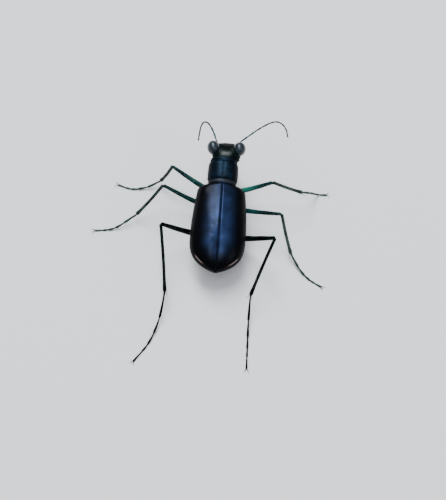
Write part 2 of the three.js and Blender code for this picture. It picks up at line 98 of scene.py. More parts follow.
def hump(value: float, middle: float, width: float) -> float:
    """Give 1 at the middle, falling off like a bell over a width."""
    return math.exp(-(((value - middle) / width) ** 2))


def squared(value: float, squareness: float = 2.3) -> float:
    """Bend a sine or cosine so that an oval gets straighter flanks than an ellipse."""
    return math.copysign(abs(value) ** (2 / squareness), value)


def through(pairs: Profile, x: float) -> float:
    """Read a smooth line through pairs of place and value.

    Args:
        pairs: Places in rising order, each with its value.
        x: The place to read at.

    Returns:
        The value there.
    """
    for (x0, y0), (x1, y1) in zip(pairs, pairs[1:]):
        if x <= x1:
            return mix(y0, y1, ease(x0, x1, x))
    return pairs[-1][1]


def end_rounding(share: float, start: float, end: float) -> float:
    """Give the share of full width at a place on a piece with rounded ends.

    Args:
        share: Place along the piece, 0 to 1.
        start: Share of the length over which the start is rounded.
        end: The same for the end.

    Returns:
        A factor from a small value at the very ends to 1.
    """
    near = clamp(share / start) if start else 1.0
    far = clamp((1 - share) / end) if end else 1.0
    return max(0.04, math.sqrt(1 - (1 - near) ** 2) * math.sqrt(1 - (1 - far) ** 2))


def turns_of(sides: int) -> list[float]:
    """Give the turns of points spread evenly round a piece."""
    return [2 * math.pi * k / sides for k in range(sides)]


def on_side(spot: Spot, side: int) -> Vector:
    """Give a point of the right side, or its twin where the side is -1."""
    return Vector((side * spot[0], *spot[1:]))


def linear(colour: str) -> tuple[float, float, float, float]:
    """Turn an sRGB hex colour into the linear values that a shader takes."""
    parts = [int(colour[i : i + 2], 16) / 255 for i in (1, 3, 5)]
    return (*[c / 12.92 if c <= 0.04045 else ((c + 0.055) / 1.055) ** 2.4 for c in parts], 1.0)


@dataclass(frozen=True)
class Stance:
    """How the trunk is held over the floor."""

    pitch: float = math.radians(12)
    lean: float = math.radians(5)
    height: float = 4.1
    middle_x: float = -0.857
    middle_y: float = -4.488
    head_shift: float = 0.15

    @property
    def floor(self) -> Matrix:
        """From millimetres over the floor to the model's metres."""
        return Matrix.Scale(MM, 4) @ Matrix.Translation((-self.middle_x, -self.middle_y, 0))

    @property
    def trunk(self) -> Matrix:
        """From millimetres of the level trunk to the model's metres."""
        return self.floor @ self.lift

    @property
    def lift(self) -> Matrix:
        """From the level trunk to the trunk as it is held over the floor, in millimetres."""
        tipped = Matrix.Rotation(self.pitch, 4, "X") @ Matrix.Rotation(self.lean, 4, "Y")
        return Matrix.Translation((0, 0, self.height)) @ tipped

    @property
    def head(self) -> Matrix:
        """From the head's own frame to the model's metres: it stands to the right and its eyes are level."""
        return self.trunk @ Matrix.Translation((self.head_shift, 0, 0)) @ Matrix.Rotation(-self.lean, 4, "Y")


STANCE = Stance()


class Path:
    """A smooth line through points, measured along its length."""

    def __init__(self, points: Sequence[Vector], fine: int = 12) -> None:
        """Lay the line.

        Args:
            points: What the line goes through.
            fine: Steps between two points.
        """
        ends = [points[0] * 2 - points[1], *points, points[-1] * 2 - points[-2]]
        self.line: list[Vector] = []
        for a, b, c, d in zip(ends, ends[1:], ends[2:], ends[3:]):
            for i in range(fine):
                t = i / fine
                self.line.append(
                    0.5 * (2 * b + (c - a) * t + (2 * a - 5 * b + 4 * c - d) * t**2 + (3 * b - a - 3 * c + d) * t**3)
                )
        self.line.append(points[-1].copy())
        steps = [(q - p).length for p, q in zip(self.line, self.line[1:])]
        self.marks = np.concatenate([[0.0], np.cumsum(steps)])
        self.length = float(self.marks[-1])

    def at(self, share: float) -> Vector:
        """Give the point at a share of the length, which may run a little past the ends."""
        if not 0 <= share <= 1:
            inner = 0.001 if share < 0 else 0.999
            edge = 0.0 if share < 0 else 1.0
            return self.at(edge) + (self.at(edge) - self.at(inner)) * (abs(share - edge) / 0.001)
        mark = share * self.length
        i = min(int(np.searchsorted(self.marks, mark, side="right")) - 1, len(self.line) - 2)
        span = self.marks[i + 1] - self.marks[i]
        return self.line[i].lerp(self.line[i + 1], (mark - self.marks[i]) / max(span, 1e-9))

    def frames(self, shares: Sequence[float], up: Vector) -> list[tuple[Vector, Vector, Vector, Vector]]:
        """Give centre, side, over and forward at each share, without twist.

        Args:
            shares: Places along the line.
            up: What the first side stands square to.

        Returns:
            One tuple for each share.
        """
        made = []
        side = up.cross(self.at(shares[0] + 0.01) - self.at(shares[0] - 0.01)).normalized()
        for share in shares:
            forward = (self.at(share + 0.01) - self.at(share - 0.01)).normalized()
            side = (side - forward * side.dot(forward)).normalized()
            made.append((self.at(share), side, forward.cross(side), forward))
        return made


class Grain(Enum):
    """What the surface of the shell is like close up."""

    SMOOTH = "smooth"
    PITS = "pits"
    FACETS = "facets"
    WRINKLES = "wrinkles"


def add_node(
    tree: Tree,
    kind: str,
    settings: dict[str, object] | None = None,
    inputs: dict[str | int, object] | None = None,
) -> bpy.types.Node:
    """Add a node with its settings, values and links.

    Args:
        tree: Where it goes.
        kind: The node's type.
        settings: Its own properties.
        inputs: For each socket, by name or number, a value or the socket that feeds it.

    Returns:
        The node.
    """
    node = tree.nodes.new(kind)
    for key, value in (settings or {}).items():
        setattr(node, key, value)
    for key, value in (inputs or {}).items():
        if isinstance(value, Socket):
            tree.links.new(value, node.inputs[key])
        else:
            node.inputs[key].default_value = value
    return node


def band(tree: Tree, value: Socket, low: float, high: float, soft: float) -> Socket:
    """Give 1 between two values and 0 outside them, with soft ends.

    Args:
        tree: The material's nodes.
        value: What is compared.
        low: Where the band starts.
        high: Where it ends.
        soft: Width of each soft end.

    Returns:
        The mask.
    """
    ends = [
        add_node(
            tree,
            "ShaderNodeMapRange",
            SMOOTH_STEP,
            {"Value": value, "From Min": edge - soft, "From Max": edge + soft, "To Min": a, "To Max": 1 - a},
        ).outputs[0]
        for edge, a in ((low, 0.0), (high, 1.0))
    ]
    return add_node(tree, "ShaderNodeMath", TIMES, dict(enumerate(ends))).outputs[0]


def lay_over(tree: Tree, colour: Socket, tint: str, first: Socket, second: Socket | float) -> Socket:
    """Lay a tint over a colour where two masks meet.

    Args:
        tree: The material's nodes.
        colour: What lies below.
        tint: What is laid over it, as sRGB hex.
        first: One mask.
        second: The other mask, or a share.

    Returns:
        The colour.
    """
    mask = add_node(tree, "ShaderNodeMath", TIMES, {0: first, 1: second}).outputs[0]
    return add_node(tree, "ShaderNodeMix", COLOURS, {0: mask, 6: colour, 7: linear(tint)}).outputs[2]


@dataclass(frozen=True)
class Finish:
    """Insect shell: a dark pigmented layer under thin layers that reflect one colour.

    The real cuticle is grown, not coated, so its gloss follows every wrinkle and pit.
    """

    name: str
    slot: str
    deep: str
    light: str
    patch_mm: float = 0.8
    grain: Grain = Grain.SMOOTH
    grain_mm: float = 0.1
    grain_depth_mm: float = 0.004
    stretch: tuple[float, float, float] = (1.0, 1.0, 1.0)
    roughness: float = 0.3
    metallic: float = 0.5
    coat: float = 0.3
    coat_roughness: float = 0.18
    reflect: float = 0.35
    edge_tint: str = "#8a8f98"
    ior: float = 1.56
    place: Matrix = field(default_factory=lambda: STANCE.trunk)

    def position(self, tree: Tree) -> Socket:
        """Give the place on the piece in millimetres of its own frame."""
        location, rotation, scale = self.place.decompose()
        place = {"Location": location, "Rotation": rotation.to_euler(), "Scale": scale}
        place["Vector"] = add_node(tree, "ShaderNodeTexCoord").outputs["Object"]
        return add_node(tree, "ShaderNodeMapping", {"vector_type": "TEXTURE"}, place).outputs[0]

    def colour(self, tree: Tree, position: Socket) -> Socket:
        """Mix the two colours in soft patches.

        Args:
            tree: The material's nodes.
            position: The place in millimetres.

        Returns:
            The colour.
        """
        cloud = add_node(tree, "ShaderNodeTexNoise", {}, {"Vector": position, "Scale": 1 / self.patch_mm, "Detail": 3})
        share = add_node(
            tree, "ShaderNodeMapRange", {}, {"Value": cloud.outputs[0], "From Min": 0.35, "From Max": 0.68}
        )
        shades = {0: share.outputs[0], 6: linear(self.deep), 7: linear(self.light)}
        return add_node(tree, "ShaderNodeMix", COLOURS, shades).outputs[2]

    def relief(self, tree: Tree, position: Socket) -> Socket:
        """Give the height of the fine grain, 0 to 1.

        Args:
            tree: The material's nodes.
            position: The place in millimetres.

        Returns:
            The height.
        """
        pulled = add_node(tree, "ShaderNodeVectorMath", TIMES, {0: position, 1: self.stretch}).outputs[0]
        pattern = {"Vector": pulled, "Scale": 1 / self.grain_mm}
        if self.grain in (Grain.SMOOTH, Grain.WRINKLES):
            detail, distortion = (5, 0.6) if self.grain is Grain.WRINKLES else (2, 0.0)
            pattern.update({"Detail": detail, "Distortion": distortion})
            return add_node(tree, "ShaderNodeTexNoise", {}, pattern).outputs[0]
        cells = add_node(tree, "ShaderNodeTexVoronoi", {}, {**pattern, "Randomness": 0.75}).outputs[0]
        far, low, top = (0.35, 0.0, 1.0) if self.grain is Grain.PITS else (0.6, 1.0, 0.0)
        heights = {"Value": cells, "From Max": far, "To Min": low, "To Max": top}
        return add_node(tree, "ShaderNodeMapRange", SMOOTH_STEP, heights).outputs[0]

    def dullness(self, tree: Tree, height: Socket) -> Socket:
        """Give the roughness: the tops of the grain are polished.

        Args:
            tree: The material's nodes.
            height: The height of the fine grain.

        Returns:
            The roughness.
        """
        rough = {"Value": height, "To Min": self.roughness + 0.06, "To Max": self.roughness - 0.04}
        return add_node(tree, "ShaderNodeMapRange", {}, rough).outputs[0]

    def build(self) -> bpy.types.Material:
        """Make the material."""
        material = bpy.data.materials.new(self.name)
        material.use_nodes = True
        tree = material.node_tree
        shell = tree.nodes["Principled BSDF"]
        position = self.position(tree)
        height = self.relief(tree, position)
        relief = {"Height": height, "Distance": self.grain_depth_mm * MM, "Strength": 1.0}
        fed = {
            "Base Color": self.colour(tree, position),
            "Normal": add_node(tree, "ShaderNodeBump", {}, relief).outputs[0],
            "Roughness": self.dullness(tree, height),
        }
        for socket, source in fed.items():
            tree.links.new(source, shell.inputs[socket])
        set_values = {
            "Metallic": self.metallic,
            "IOR": self.ior,
            "Coat Weight": self.coat,
            "Coat Roughness": self.coat_roughness,
            "Specular IOR Level": self.reflect,
            "Specular Tint": linear(self.edge_tint),
        }
        for socket, value in set_values.items():
            shell.inputs[socket].default_value = value
        return material


@dataclass(frozen=True)
class WingFinish(Finish):
    """The wing cases: polished, with painted shade that makes them near black at the sides, and a thin pale line inside
    the tip's edge.
    """

    # Painted shade: the near-black colour that the blue fades to toward the sides.
    side: str = "#020306"
    side_roughness: float = 0.62
    margin_mm: float = 0.1
    side_from_mm: float = 2.0
    painted_shade_to_mm: float = 0.55
    mark: str = "#a2908a"
    mark_edge: str = "#241310"
    mark_from_mm: float = 6.45
    mark_to_mm: float = 7.02
    mark_inset_mm: float = 0.135
    mark_width_mm: float = 0.036
    mark_soft_mm: float = 0.02
    mark_end_soft_mm: float = 0.1
    halo: float = 1.4
    halo_reach_mm: float = 0.168
    map_name: str = "wing"
    map_unit_mm: float = 10.0

    def chart(self, tree: Tree) -> dict[str, Socket]:
        """Give the distance behind the front edge and in from the margin, in millimetres."""
        chart = add_node(tree, "ShaderNodeUVMap", {"uv_map": self.map_name}).outputs[0]
        scaled = {0: chart, "Scale": self.map_unit_mm}
        in_mm = add_node(tree, "ShaderNodeVectorMath", {"operation": "SCALE"}, scaled).outputs[0]
        places = add_node(tree, "ShaderNodeSeparateXYZ", {}, {0: in_mm}).outputs
        return {"behind": places["X"], "inset": places["Y"]}

    def dullness(self, tree: Tree, height: Socket) -> Socket:
        """Leave the polish on the back of the wing cases and dull their sides.

        Args:
            tree: The material's nodes.
            height: The height of the fine grain.

        Returns:
            The roughness.
        """
        rough = {
            "Value": self.chart(tree)["inset"],
            "From Min": self.margin_mm,
            "From Max": self.side_from_mm,
            "To Min": self.side_roughness,
            "To Max": super().dullness(tree, height),
        }
        return add_node(tree, "ShaderNodeMapRange", SMOOTH_STEP, rough).outputs[0]

    def colour(self, tree: Tree, position: Socket) -> Socket:
        """Paint shade that darkens the sides, and draw the pale line.

        Args:
            tree: The material's nodes.
            position: The place in millimetres.

        Returns:
            The colour.
        """
        disc = super().colour(tree, position)
        places = self.chart(tree)
        # Painted shade: the blue fades to near black toward the margin.
        reach = {"Value": places["inset"], "From Min": self.painted_shade_to_mm, "From Max": self.side_from_mm}
        outside_painted_shade = add_node(tree, "ShaderNodeMapRange", SMOOTH_STEP, reach).outputs[0]
        colour = add_node(tree, "ShaderNodeMix", COLOURS, {0: outside_painted_shade, 6: linear(self.side), 7: disc}).outputs[2]
        inset, start, end = self.mark_inset_mm, self.mark_from_mm, self.mark_to_mm
        for spread, past, tint in ((self.halo, self.halo_reach_mm, self.mark_edge), (0.0, 0.0, self.mark)):
            half = self.mark_width_mm / 2 * (1 + spread)
            across = band(tree, places["inset"], inset - half, inset + half, self.mark_soft_mm)
            along = band(tree, places["behind"], start - past, end + past, self.mark_end_soft_mm)
            colour = lay_over(tree, colour, tint, across, along)
        return colour


@dataclass(frozen=True)
class NeckFinish(Finish):
    """The neck shield: blue, with a painted grey highlight on the collar at the back."""

    # Painted highlight on the collar: its grey and how strongly it is laid over the blue.
    collar_highlight: str = "#35363a"
    collar_highlight_share: float = 0.6
    collar_mm: tuple[float, float] = (0.06, 0.4)
    soft_mm: float = 0.08

    def colour(self, tree: Tree, position: Socket) -> Socket:
        """Lay the painted grey highlight of the collar over the blue.

        Args:
            tree: The material's nodes.
            position: The place in millimetres.

        Returns:
            The colour.
        """
        colour = super().colour(tree, position)
        along = add_node(tree, "ShaderNodeSeparateXYZ", {}, {0: position}).outputs["Y"]
        return lay_over(tree, colour, self.collar_highlight, band(tree, along, *self.collar_mm, self.soft_mm), self.collar_highlight_share)


@dataclass(frozen=True)
class PaintedHighlightFinish(Finish):
    """A cuticle with soft painted highlights laid over its own colour: tint, X range, Y range."""

    patches: tuple[tuple[str, tuple[float, float], tuple[float, float]], ...] = ()
    mirrored: bool = True
    soft_mm: float = 0.22

    def colour(self, tree: Tree, position: Socket) -> Socket:
        """Lay the painted highlights over the cuticle's own colour.

        Args:
            tree: The material's nodes.
            position: The place in millimetres.

        Returns:
            The colour.
        """
        colour = super().colour(tree, position)
        places = add_node(tree, "ShaderNodeSeparateXYZ", {}, {0: position}).outputs
        aside = places["X"]
        if self.mirrored:
            aside = add_node(tree, "ShaderNodeMath", {"operation": "ABSOLUTE"}, {0: aside}).outputs[0]
        for tint, (left, right), (back, front) in self.patches:
            across = band(tree, aside, left, right, self.soft_mm)
            along = band(tree, places["Y"], back, front, self.soft_mm)
            colour = lay_over(tree, colour, tint, across, along)
        return colour


FLOOR = STANCE.floor
# Polished cuticle of the wing cases: blue from thin layers under a clear outer skin, with shallow pits.
# Painted shade darkens the sides of the wing cases to near black.
WING = WingFinish(
    "wing_case_cuticle", "wing_case", "#0e1727", "#1d2b49", 1.3, Grain.PITS, 0.13, 0.005,
    roughness=0.34, metallic=0.5, coat=0.09, coat_roughness=0.26, reflect=0.22, edge_tint="#141922",
)
# Wrinkled cuticle of the neck shield: wrinkles run across it, so its blue gloss breaks into short lines.
# Its collar carries a painted grey highlight.
NECK = NeckFinish(
    "neck_cuticle", "fore_body", "#060d13", "#0f1e2b", 0.7, Grain.WRINKLES, 0.11, 0.012,
    stretch=(0.45, 1.5, 1.0), roughness=0.42, metallic=0.65, coat=0.04, coat_roughness=0.35, reflect=0.2,
    edge_tint="#14181c",
)
# Rough blue-black cuticle of the small shield between the wing cases.
SHIELD = Finish(
    "scutellum_cuticle", "fore_body", "#060a14", "#0d1630", 0.4, Grain.WRINKLES, 0.06, 0.008,
    roughness=0.5, metallic=0.4, coat=0.0, reflect=0.1, edge_tint="#39414e",
)
# Cuticle of the head: fine lines run lengthwise between the eyes, green-black with a bluish gloss. A
# painted grey highlight lies on the crown and a painted green glint stands behind each eye.
HEAD = PaintedHighlightFinish(
    "head_cuticle", "fore_body", "#080c0c", "#121a18", 0.45, Grain.WRINKLES, 0.09, 0.012,
    stretch=(2.2, 0.5, 0.6), roughness=0.42, metallic=0.7, coat=0.02, coat_roughness=0.35, reflect=0.2,
    edge_tint="#14181a", place=STANCE.head,
    # Painted highlight on the crown, then a painted green glint behind each eye.
    patches=(("#3a3c3a", (-0.7, 0.4), (2.62, 2.95)), ("#0d3224", (0.8, 1.1), (2.66, 2.88))),
)
# Cuticle under the thorax: green-black and glossy under its hairs.
UNDER = Finish(
    "thorax_cuticle", "fore_body", "#07120f", "#0f2a33", 0.8, Grain.PITS, 0.1, 0.006,
    roughness=0.32, metallic=0.5, coat=0.2,
)
# Thin cuticle of the belly plates: red-brown and translucent in life, with a glossy face.
BELLY = Finish(
    "abdomen_cuticle", "abdomen", "#2a0d08", "#5c2413", 1.0, Grain.WRINKLES, 0.12, 0.004,
    stretch=(0.5, 1.4, 1.0), roughness=0.34, metallic=0.15, coat=0.25,
)
# Cornea over many lenses: a hard clear skin over near-black pigment. The lenses are drawn 0.05 mm wide,
# twice their real width, so that their pattern still shows.
EYE = Finish(
    "eye_cornea", "eye", "#070d11", "#14232c", 0.6, Grain.FACETS, 0.05, 0.004,
    roughness=0.36, metallic=0.0, coat=0.8, coat_roughness=0.33, reflect=0.45, edge_tint="#3c4c5c",
)
# Unpigmented cuticle of the upper lip and palps: smooth ivory.
LIP = Finish(
    "ivory_cuticle", "lip", "#b9ab84", "#ddd3ae", 0.4, Grain.SMOOTH, 0.08, 0.002,
    roughness=0.36, metallic=0.0, coat=0.2,
)
# Hard dark cuticle of the jaws: smooth brown-black, polished by use.
JAW = Finish(
    "jaw_cuticle", "jaw", "#140b06", "#2c190d", 0.4, Grain.SMOOTH, 0.1, 0.002,
    roughness=0.24, metallic=0.1, coat=0.35,
)
# Metallic cuticle of the fore and middle thighs and hips: dark green, with a painted green sheen near the body on the
# right.
LEG = PaintedHighlightFinish(
    "leg_cuticle", "leg", "#03181a", "#0a302d", 0.9, Grain.PITS, 0.07, 0.004,
    roughness=0.4, metallic=0.5, coat=0.05, coat_roughness=0.3, reflect=0.15, edge_tint="#2c4642", place=FLOOR,
    # Painted sheen near the body: on the right front thigh, then on the right middle thigh.
    patches=(("#237564", (1.2, 2.7), (-0.4, 1.3)), ("#16524f", (1.9, 2.9), (-2.1, -1.0))),
    mirrored=False, soft_mm=0.8,
)
# The lower leg: thinner walled and duller, grey-green going to black at the foot.
SHIN = Finish(
    "shin_cuticle", "leg", "#18211f", "#394944", 0.6, Grain.PITS, 0.06, 0.004,
    roughness=0.44, metallic=0.35, coat=0.03, reflect=0.12, edge_tint="#2c3634", place=FLOOR,
)
# Hind legs: black cuticle with green glints.
HIND = Finish(
    "hind_leg_cuticle", "hind_leg", "#020303", "#071310", 0.7, Grain.PITS, 0.07, 0.004,
    roughness=0.46, metallic=0.3, coat=0.02, coat_roughness=0.3, reflect=0.1, edge_tint="#1c2624", place=FLOOR,
)
# Green cuticle of the feeler stems.
STEM = Finish(
    "feeler_stem_cuticle", "feeler_stem", "#0a201f", "#1a4a4a", 0.3, Grain.SMOOTH, 0.05, 0.002,
    roughness=0.3, metallic=0.5, coat=0.2, place=FLOOR,
)
# Outer feeler joints: dull grey-brown under a short even down.
FELT = Finish(
    "feeler_down", "feeler_end", "#1c1b19", "#3a3935", 0.2, Grain.WRINKLES, 0.03, 0.003,
    roughness=0.62, metallic=0.0, coat=0.0, place=FLOOR,
)
# Stiff white hairs: clear chitin filled with air, which scatters light.
WHITE_HAIR = Finish(
    "white_hair", "leg", "#8f918c", "#c3c4be", 0.3, Grain.SMOOTH, 0.05, 0.0005,
    roughness=0.5, metallic=0.0, coat=0.0, place=FLOOR,
)
# Dark bristles and spines.
DARK_HAIR = Finish(
    "dark_bristle", "hind_leg", "#0c0b0a", "#24201b", 0.3, Grain.SMOOTH, 0.05, 0.0005,
    roughness=0.4, metallic=0.0, coat=0.1, place=FLOOR,
)


class Palette:
    """The finishes that are in use, each made once."""

    def __init__(self) -> None:
        """Start with none made."""
        self.made: dict[str, bpy.types.Material] = {}

    def get(self, finish: Finish) -> bpy.types.Material:
        """Give a finish's material, and make it the first time."""
        if finish.name not in self.made:
            self.made[finish.name] = finish.build()
        return self.made[finish.name]


PALETTE = Palette()


class Sculpt:
    """One piece in the making, in millimetres of its own frame."""

    def __init__(self, name: str) -> None:
        """Start with an empty mesh."""
        self.name = name
        self.mesh = bmesh.new()

    def ring_edges(self, ring: Sequence[bmesh.types.BMVert], spots: Sequence[Vector]) -> list[bmesh.types.BMEdge]:
        """Move a ring's points to their spots and give its edges."""
        for vert, spot in zip(ring, spots):
            vert.co = spot
        return [self.mesh.edges.get(pair) for pair in zip(ring, (*ring[1:], ring[0]))]

    def loft(self, rings: Sequence[Sequence[Vector]], finish: int = 0) -> None:
        """Draw a skin over rings of points and close its ends.

        Args:
            rings: Rings with the same count of points, from one end to the other.
            finish: Number of the finish on the faces.
        """
        ring = bmesh.ops.create_circle(self.mesh, segments=len(rings[0]), radius=1.0)["verts"]
        first = last = self.ring_edges(ring, rings[0])
        faces = []
        for spots in rings[1:]:
            grown = bmesh.ops.extrude_edge_only(self.mesh, edges=last)["geom"]
            fresh = {part for part in grown if isinstance(part, bmesh.types.BMVert)}
            ring = [next(e.other_vert(v) for e in v.link_edges if e.other_vert(v) in fresh) for v in ring]
            last = self.ring_edges(ring, spots)
            faces += [part for part in grown if isinstance(part, bmesh.types.BMFace)]
        for loop in (first, last):
            faces += bmesh.ops.edgeloop_fill(self.mesh, edges=loop)["faces"]
        for face in faces:
            face.material_index = finish

    def skin(self, point: Placed, rows: int, sides: int, span: tuple[float, float] = (0.0, 1.0)) -> None:
        """Draw a closed skin over points given by place and turn.

        Args:
            point: Gives the point for a place along the piece and a turn round it.
            rows: Rings along it.
            sides: Points round it.
            span: The places of its two ends.
        """
        turns = turns_of(sides)
        self.loft([[point(mix(*span, i / rows), turn) for turn in turns] for i in range(rows + 1)])

    def shell(self, thick: float, outward: Vector) -> None:
        """Turn an open sheet to face outward and give it a wall on its inner side.

        Args:
            thick: Thickness of the wall.
            outward: The way that most of the sheet faces.
        """
        bmesh.ops.remove_doubles(self.mesh, verts=self.mesh.verts, dist=MERGE_MM)
        bmesh.ops.recalc_face_normals(self.mesh, faces=self.mesh.faces)
        if sum(face.normal.dot(outward) * face.calc_area() for face in self.mesh.faces) < 0:
            bmesh.ops.reverse_faces(self.mesh, faces=self.mesh.faces)
        bmesh.ops.solidify(self.mesh, geom=self.mesh.faces[:], thickness=thick)

    def tube(
        self,
        path: Path,
        radius: Turned,
        steps: int = 24,
        sides: int = 20,
        up: Vector = UP,
        flat: float = 1.0,
        span: tuple[float, float] = (0.0, 1.0),
        finish: int = 0,
    ) -> None:
        """Draw a closed tube along a path, with more rings near its ends.

        Args:
            path: Its middle line.
            radius: Gives the radius for a share of the span and a turn round it.
            steps: Rings along it.
            sides: Points round it.
            up: What its first side stands square to.
            flat: Thickness over, as a share of the width.
            span: The stretch of the path that it covers.
            finish: Number of its finish.
        """
        shares = [(1 - math.cos(math.pi * i / steps)) / 2 for i in range(steps + 1)]
        rings = []
        for share, (centre, side, over, _) in zip(shares, path.frames([mix(*span, s) for s in shares], up)):
            rings.append([
                centre + (side * math.cos(turn) + over * (math.sin(turn) * flat)) * radius(share, turn)
                for turn in turns_of(sides)
            ])
        self.loft(rings, finish)

    def thorn(self, points: Sequence[Vector], thick: float, finish: int = 0, sides: int = 8, steps: int = 10) -> None:
        """Draw a tapering point along a line.

        Args:
            points: Its root, bends and tip.
            thick: Radius at the root.
            finish: Number of its finish.
            sides: Points round it.
            steps: Rings along it.
        """
        self.tube(Path(points), lambda share, _: thick * mix(1, 0.08, share**1.1), steps, sides, finish=finish)

    def egg(self, middle: Vector, radii: Vector, turned: float = 0.0) -> None:
        """Add an egg.

        Args:
            middle: Its middle.
            radii: Its half sizes.
            turned: Its turn about the upright through its middle.
        """
        place = Matrix.Translation(middle) @ Matrix.Rotation(turned, 4, "Z") @ Matrix.Diagonal((*radii, 1))
        bmesh.ops.create_uvsphere(self.mesh, u_segments=48, v_segments=32, radius=1.0, matrix=place)

    def done(self, finishes: Sequence[Finish], replaced: str, place: Matrix = STANCE.trunk) -> None:
        """Turn the mesh into a piece that rides on the body.

        Args:
            finishes: Its finishes, by number.
            replaced: The solid that it stands for.
            place: From its own frame to the model's.
        """
        bmesh.ops.remove_doubles(self.mesh, verts=self.mesh.verts, dist=MERGE_MM)
        bmesh.ops.recalc_face_normals(self.mesh, faces=self.mesh.faces)
        bmesh.ops.transform(self.mesh, matrix=place, verts=self.mesh.verts)
        for face in self.mesh.faces:
            face.smooth = True
        data = bpy.data.meshes.new(self.name)
        self.mesh.to_mesh(data)
        self.mesh.free()
        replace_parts(dress(self.name, data, finishes), replaced)


def dress(name: str, data: bpy.types.Mesh, finishes: Sequence[Finish]) -> bpy.types.Object:
    """Make a piece from a finished mesh, give it its finishes and let it ride on the body.

    Args:
        name: The piece's name.
        data: Its mesh, in the model's metres.
        finishes: Its finishes, by number.

    Returns:
        The piece.
    """
    piece = bpy.data.objects.new(name, data)
    bpy.context.scene.collection.objects.link(piece)
    for finish in finishes:
        data.materials.append(PALETTE.get(finish))
    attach(piece, BODY)
    LOG.info("%s: %d faces", name, len(data.polygons))
    return piece


@dataclass
class Coat:
    """Hairs of one kind, each a bent three-sided cone, joined in one mesh."""

    name: str
    finish: Finish
    columns: int = 8
    rows: int = 8
    margin: float = 0.05
    patch: float = 0.003
    bend: float = 3.6
    reach: float = 12.0
    cuts: tuple[float, float] = (0.4, 0.75)
    hairs: list[tuple[Matrix, tuple[float, float]]] = field(default_factory=list)

    def add(
        self, root: Vector, along: Vector, lean: Vector, length: float, thick: float, cell: int, at: tuple[float, float]
    ) -> None:
        """Add a hair.

        Args:
            root: Where it grows, in metres.
            along: The way it points.
            lean: The way it bends.
            length: Its length, in millimetres.
            thick: Radius at its root, in millimetres.
            cell: Which square of the unwrap its skin has.
            at: Its root's place in that square, each 0 to 1.
        """
        forward = along.normalized()
        across = (lean - forward * lean.dot(forward)).normalized()
        axes = Matrix((across * thick * MM, forward.cross(across) * thick * MM, forward * length * MM)).transposed()
        row, column = divmod(cell, self.columns)
        spot = (
            (column + mix(self.margin, 1 - self.margin, clamp(at[0]))) / self.columns,
            (row + mix(self.margin, 1 - self.margin, clamp(at[1]))) / self.rows,
        )
        self.hairs.append((Matrix.Translation(root) @ axes.to_4x4(), spot))

    def build(self) -> None:
        """Join the hairs in one piece."""
        pattern = bmesh.new()
        lift = Matrix.Translation((0, 0, 0.5))
        bmesh.ops.create_cone(pattern, cap_ends=True, segments=3, radius1=1, radius2=0.05, depth=1, matrix=lift)
        for height in self.cuts:
            parts = [*pattern.verts, *pattern.edges, *pattern.faces]
            bmesh.ops.bisect_plane(pattern, geom=parts, plane_co=(0, 0, height), plane_no=UP)
        for vert in pattern.verts:
            vert.co.x += self.bend * vert.co.z**2
        bmesh.ops.recalc_face_normals(pattern, faces=pattern.faces)
        shape = np.array([(*vert.co, 1.0) for vert in pattern.verts])
        cut = bmesh.ops.triangulate(pattern, faces=pattern.faces)["faces"]
        faces = np.array([[vert.index for vert in face.verts] for face in cut])
        chart = np.array([(vert.co.x / self.reach, vert.co.z) for vert in pattern.verts])
        pattern.free()
        places = np.array([np.array(matrix) for matrix, _ in self.hairs])
        spots = np.array([spot for _, spot in self.hairs])
        verts = np.einsum("hij,vj->hvi", places, shape)[:, :, :3].reshape(-1, 3)
        loops = (faces[None] + np.arange(len(places))[:, None, None] * len(shape)).reshape(-1, 3)
        data = bpy.data.meshes.new(self.name)
        data.from_pydata(verts.tolist(), [], loops.tolist())
        corners = spots[:, None, None, :] + (chart[faces][None] - 0.5) * self.patch
        layer = data.uv_layers.new(name=BAKE_MAP)
        layer.data.foreach_set("uv", corners.reshape(-1).astype(np.float32))
        data.polygons.foreach_set("use_smooth", np.ones(len(data.polygons), bool))
        dress(self.name, data, [self.finish])


def grow_hair(
    coat: Coat,
    spot: Vector,
    out: Vector,
    length: float,
    cell: int,
    at: tuple[float, float],
    place: Matrix = STANCE.trunk,
    thick: float = 0.011,
) -> None:
    """Set a hair on a point of the trunk or head, leaning back.

    Args:
        coat: What takes it.
        spot: Its root, in the millimetres of its own frame.
        out: The way it stands.
        length: Its length, in millimetres.
        cell: Which square of the unwrap its skin has.
        at: Its root's place in that square.
        place: From its own frame to the model's.
        thick: Radius at its root, in millimetres.
    """
    turned = place.to_3x3().normalized()
    coat.add(place @ spot, turned @ out, turned @ Vector((0, -1, -0.3)), length, thick, cell, at)


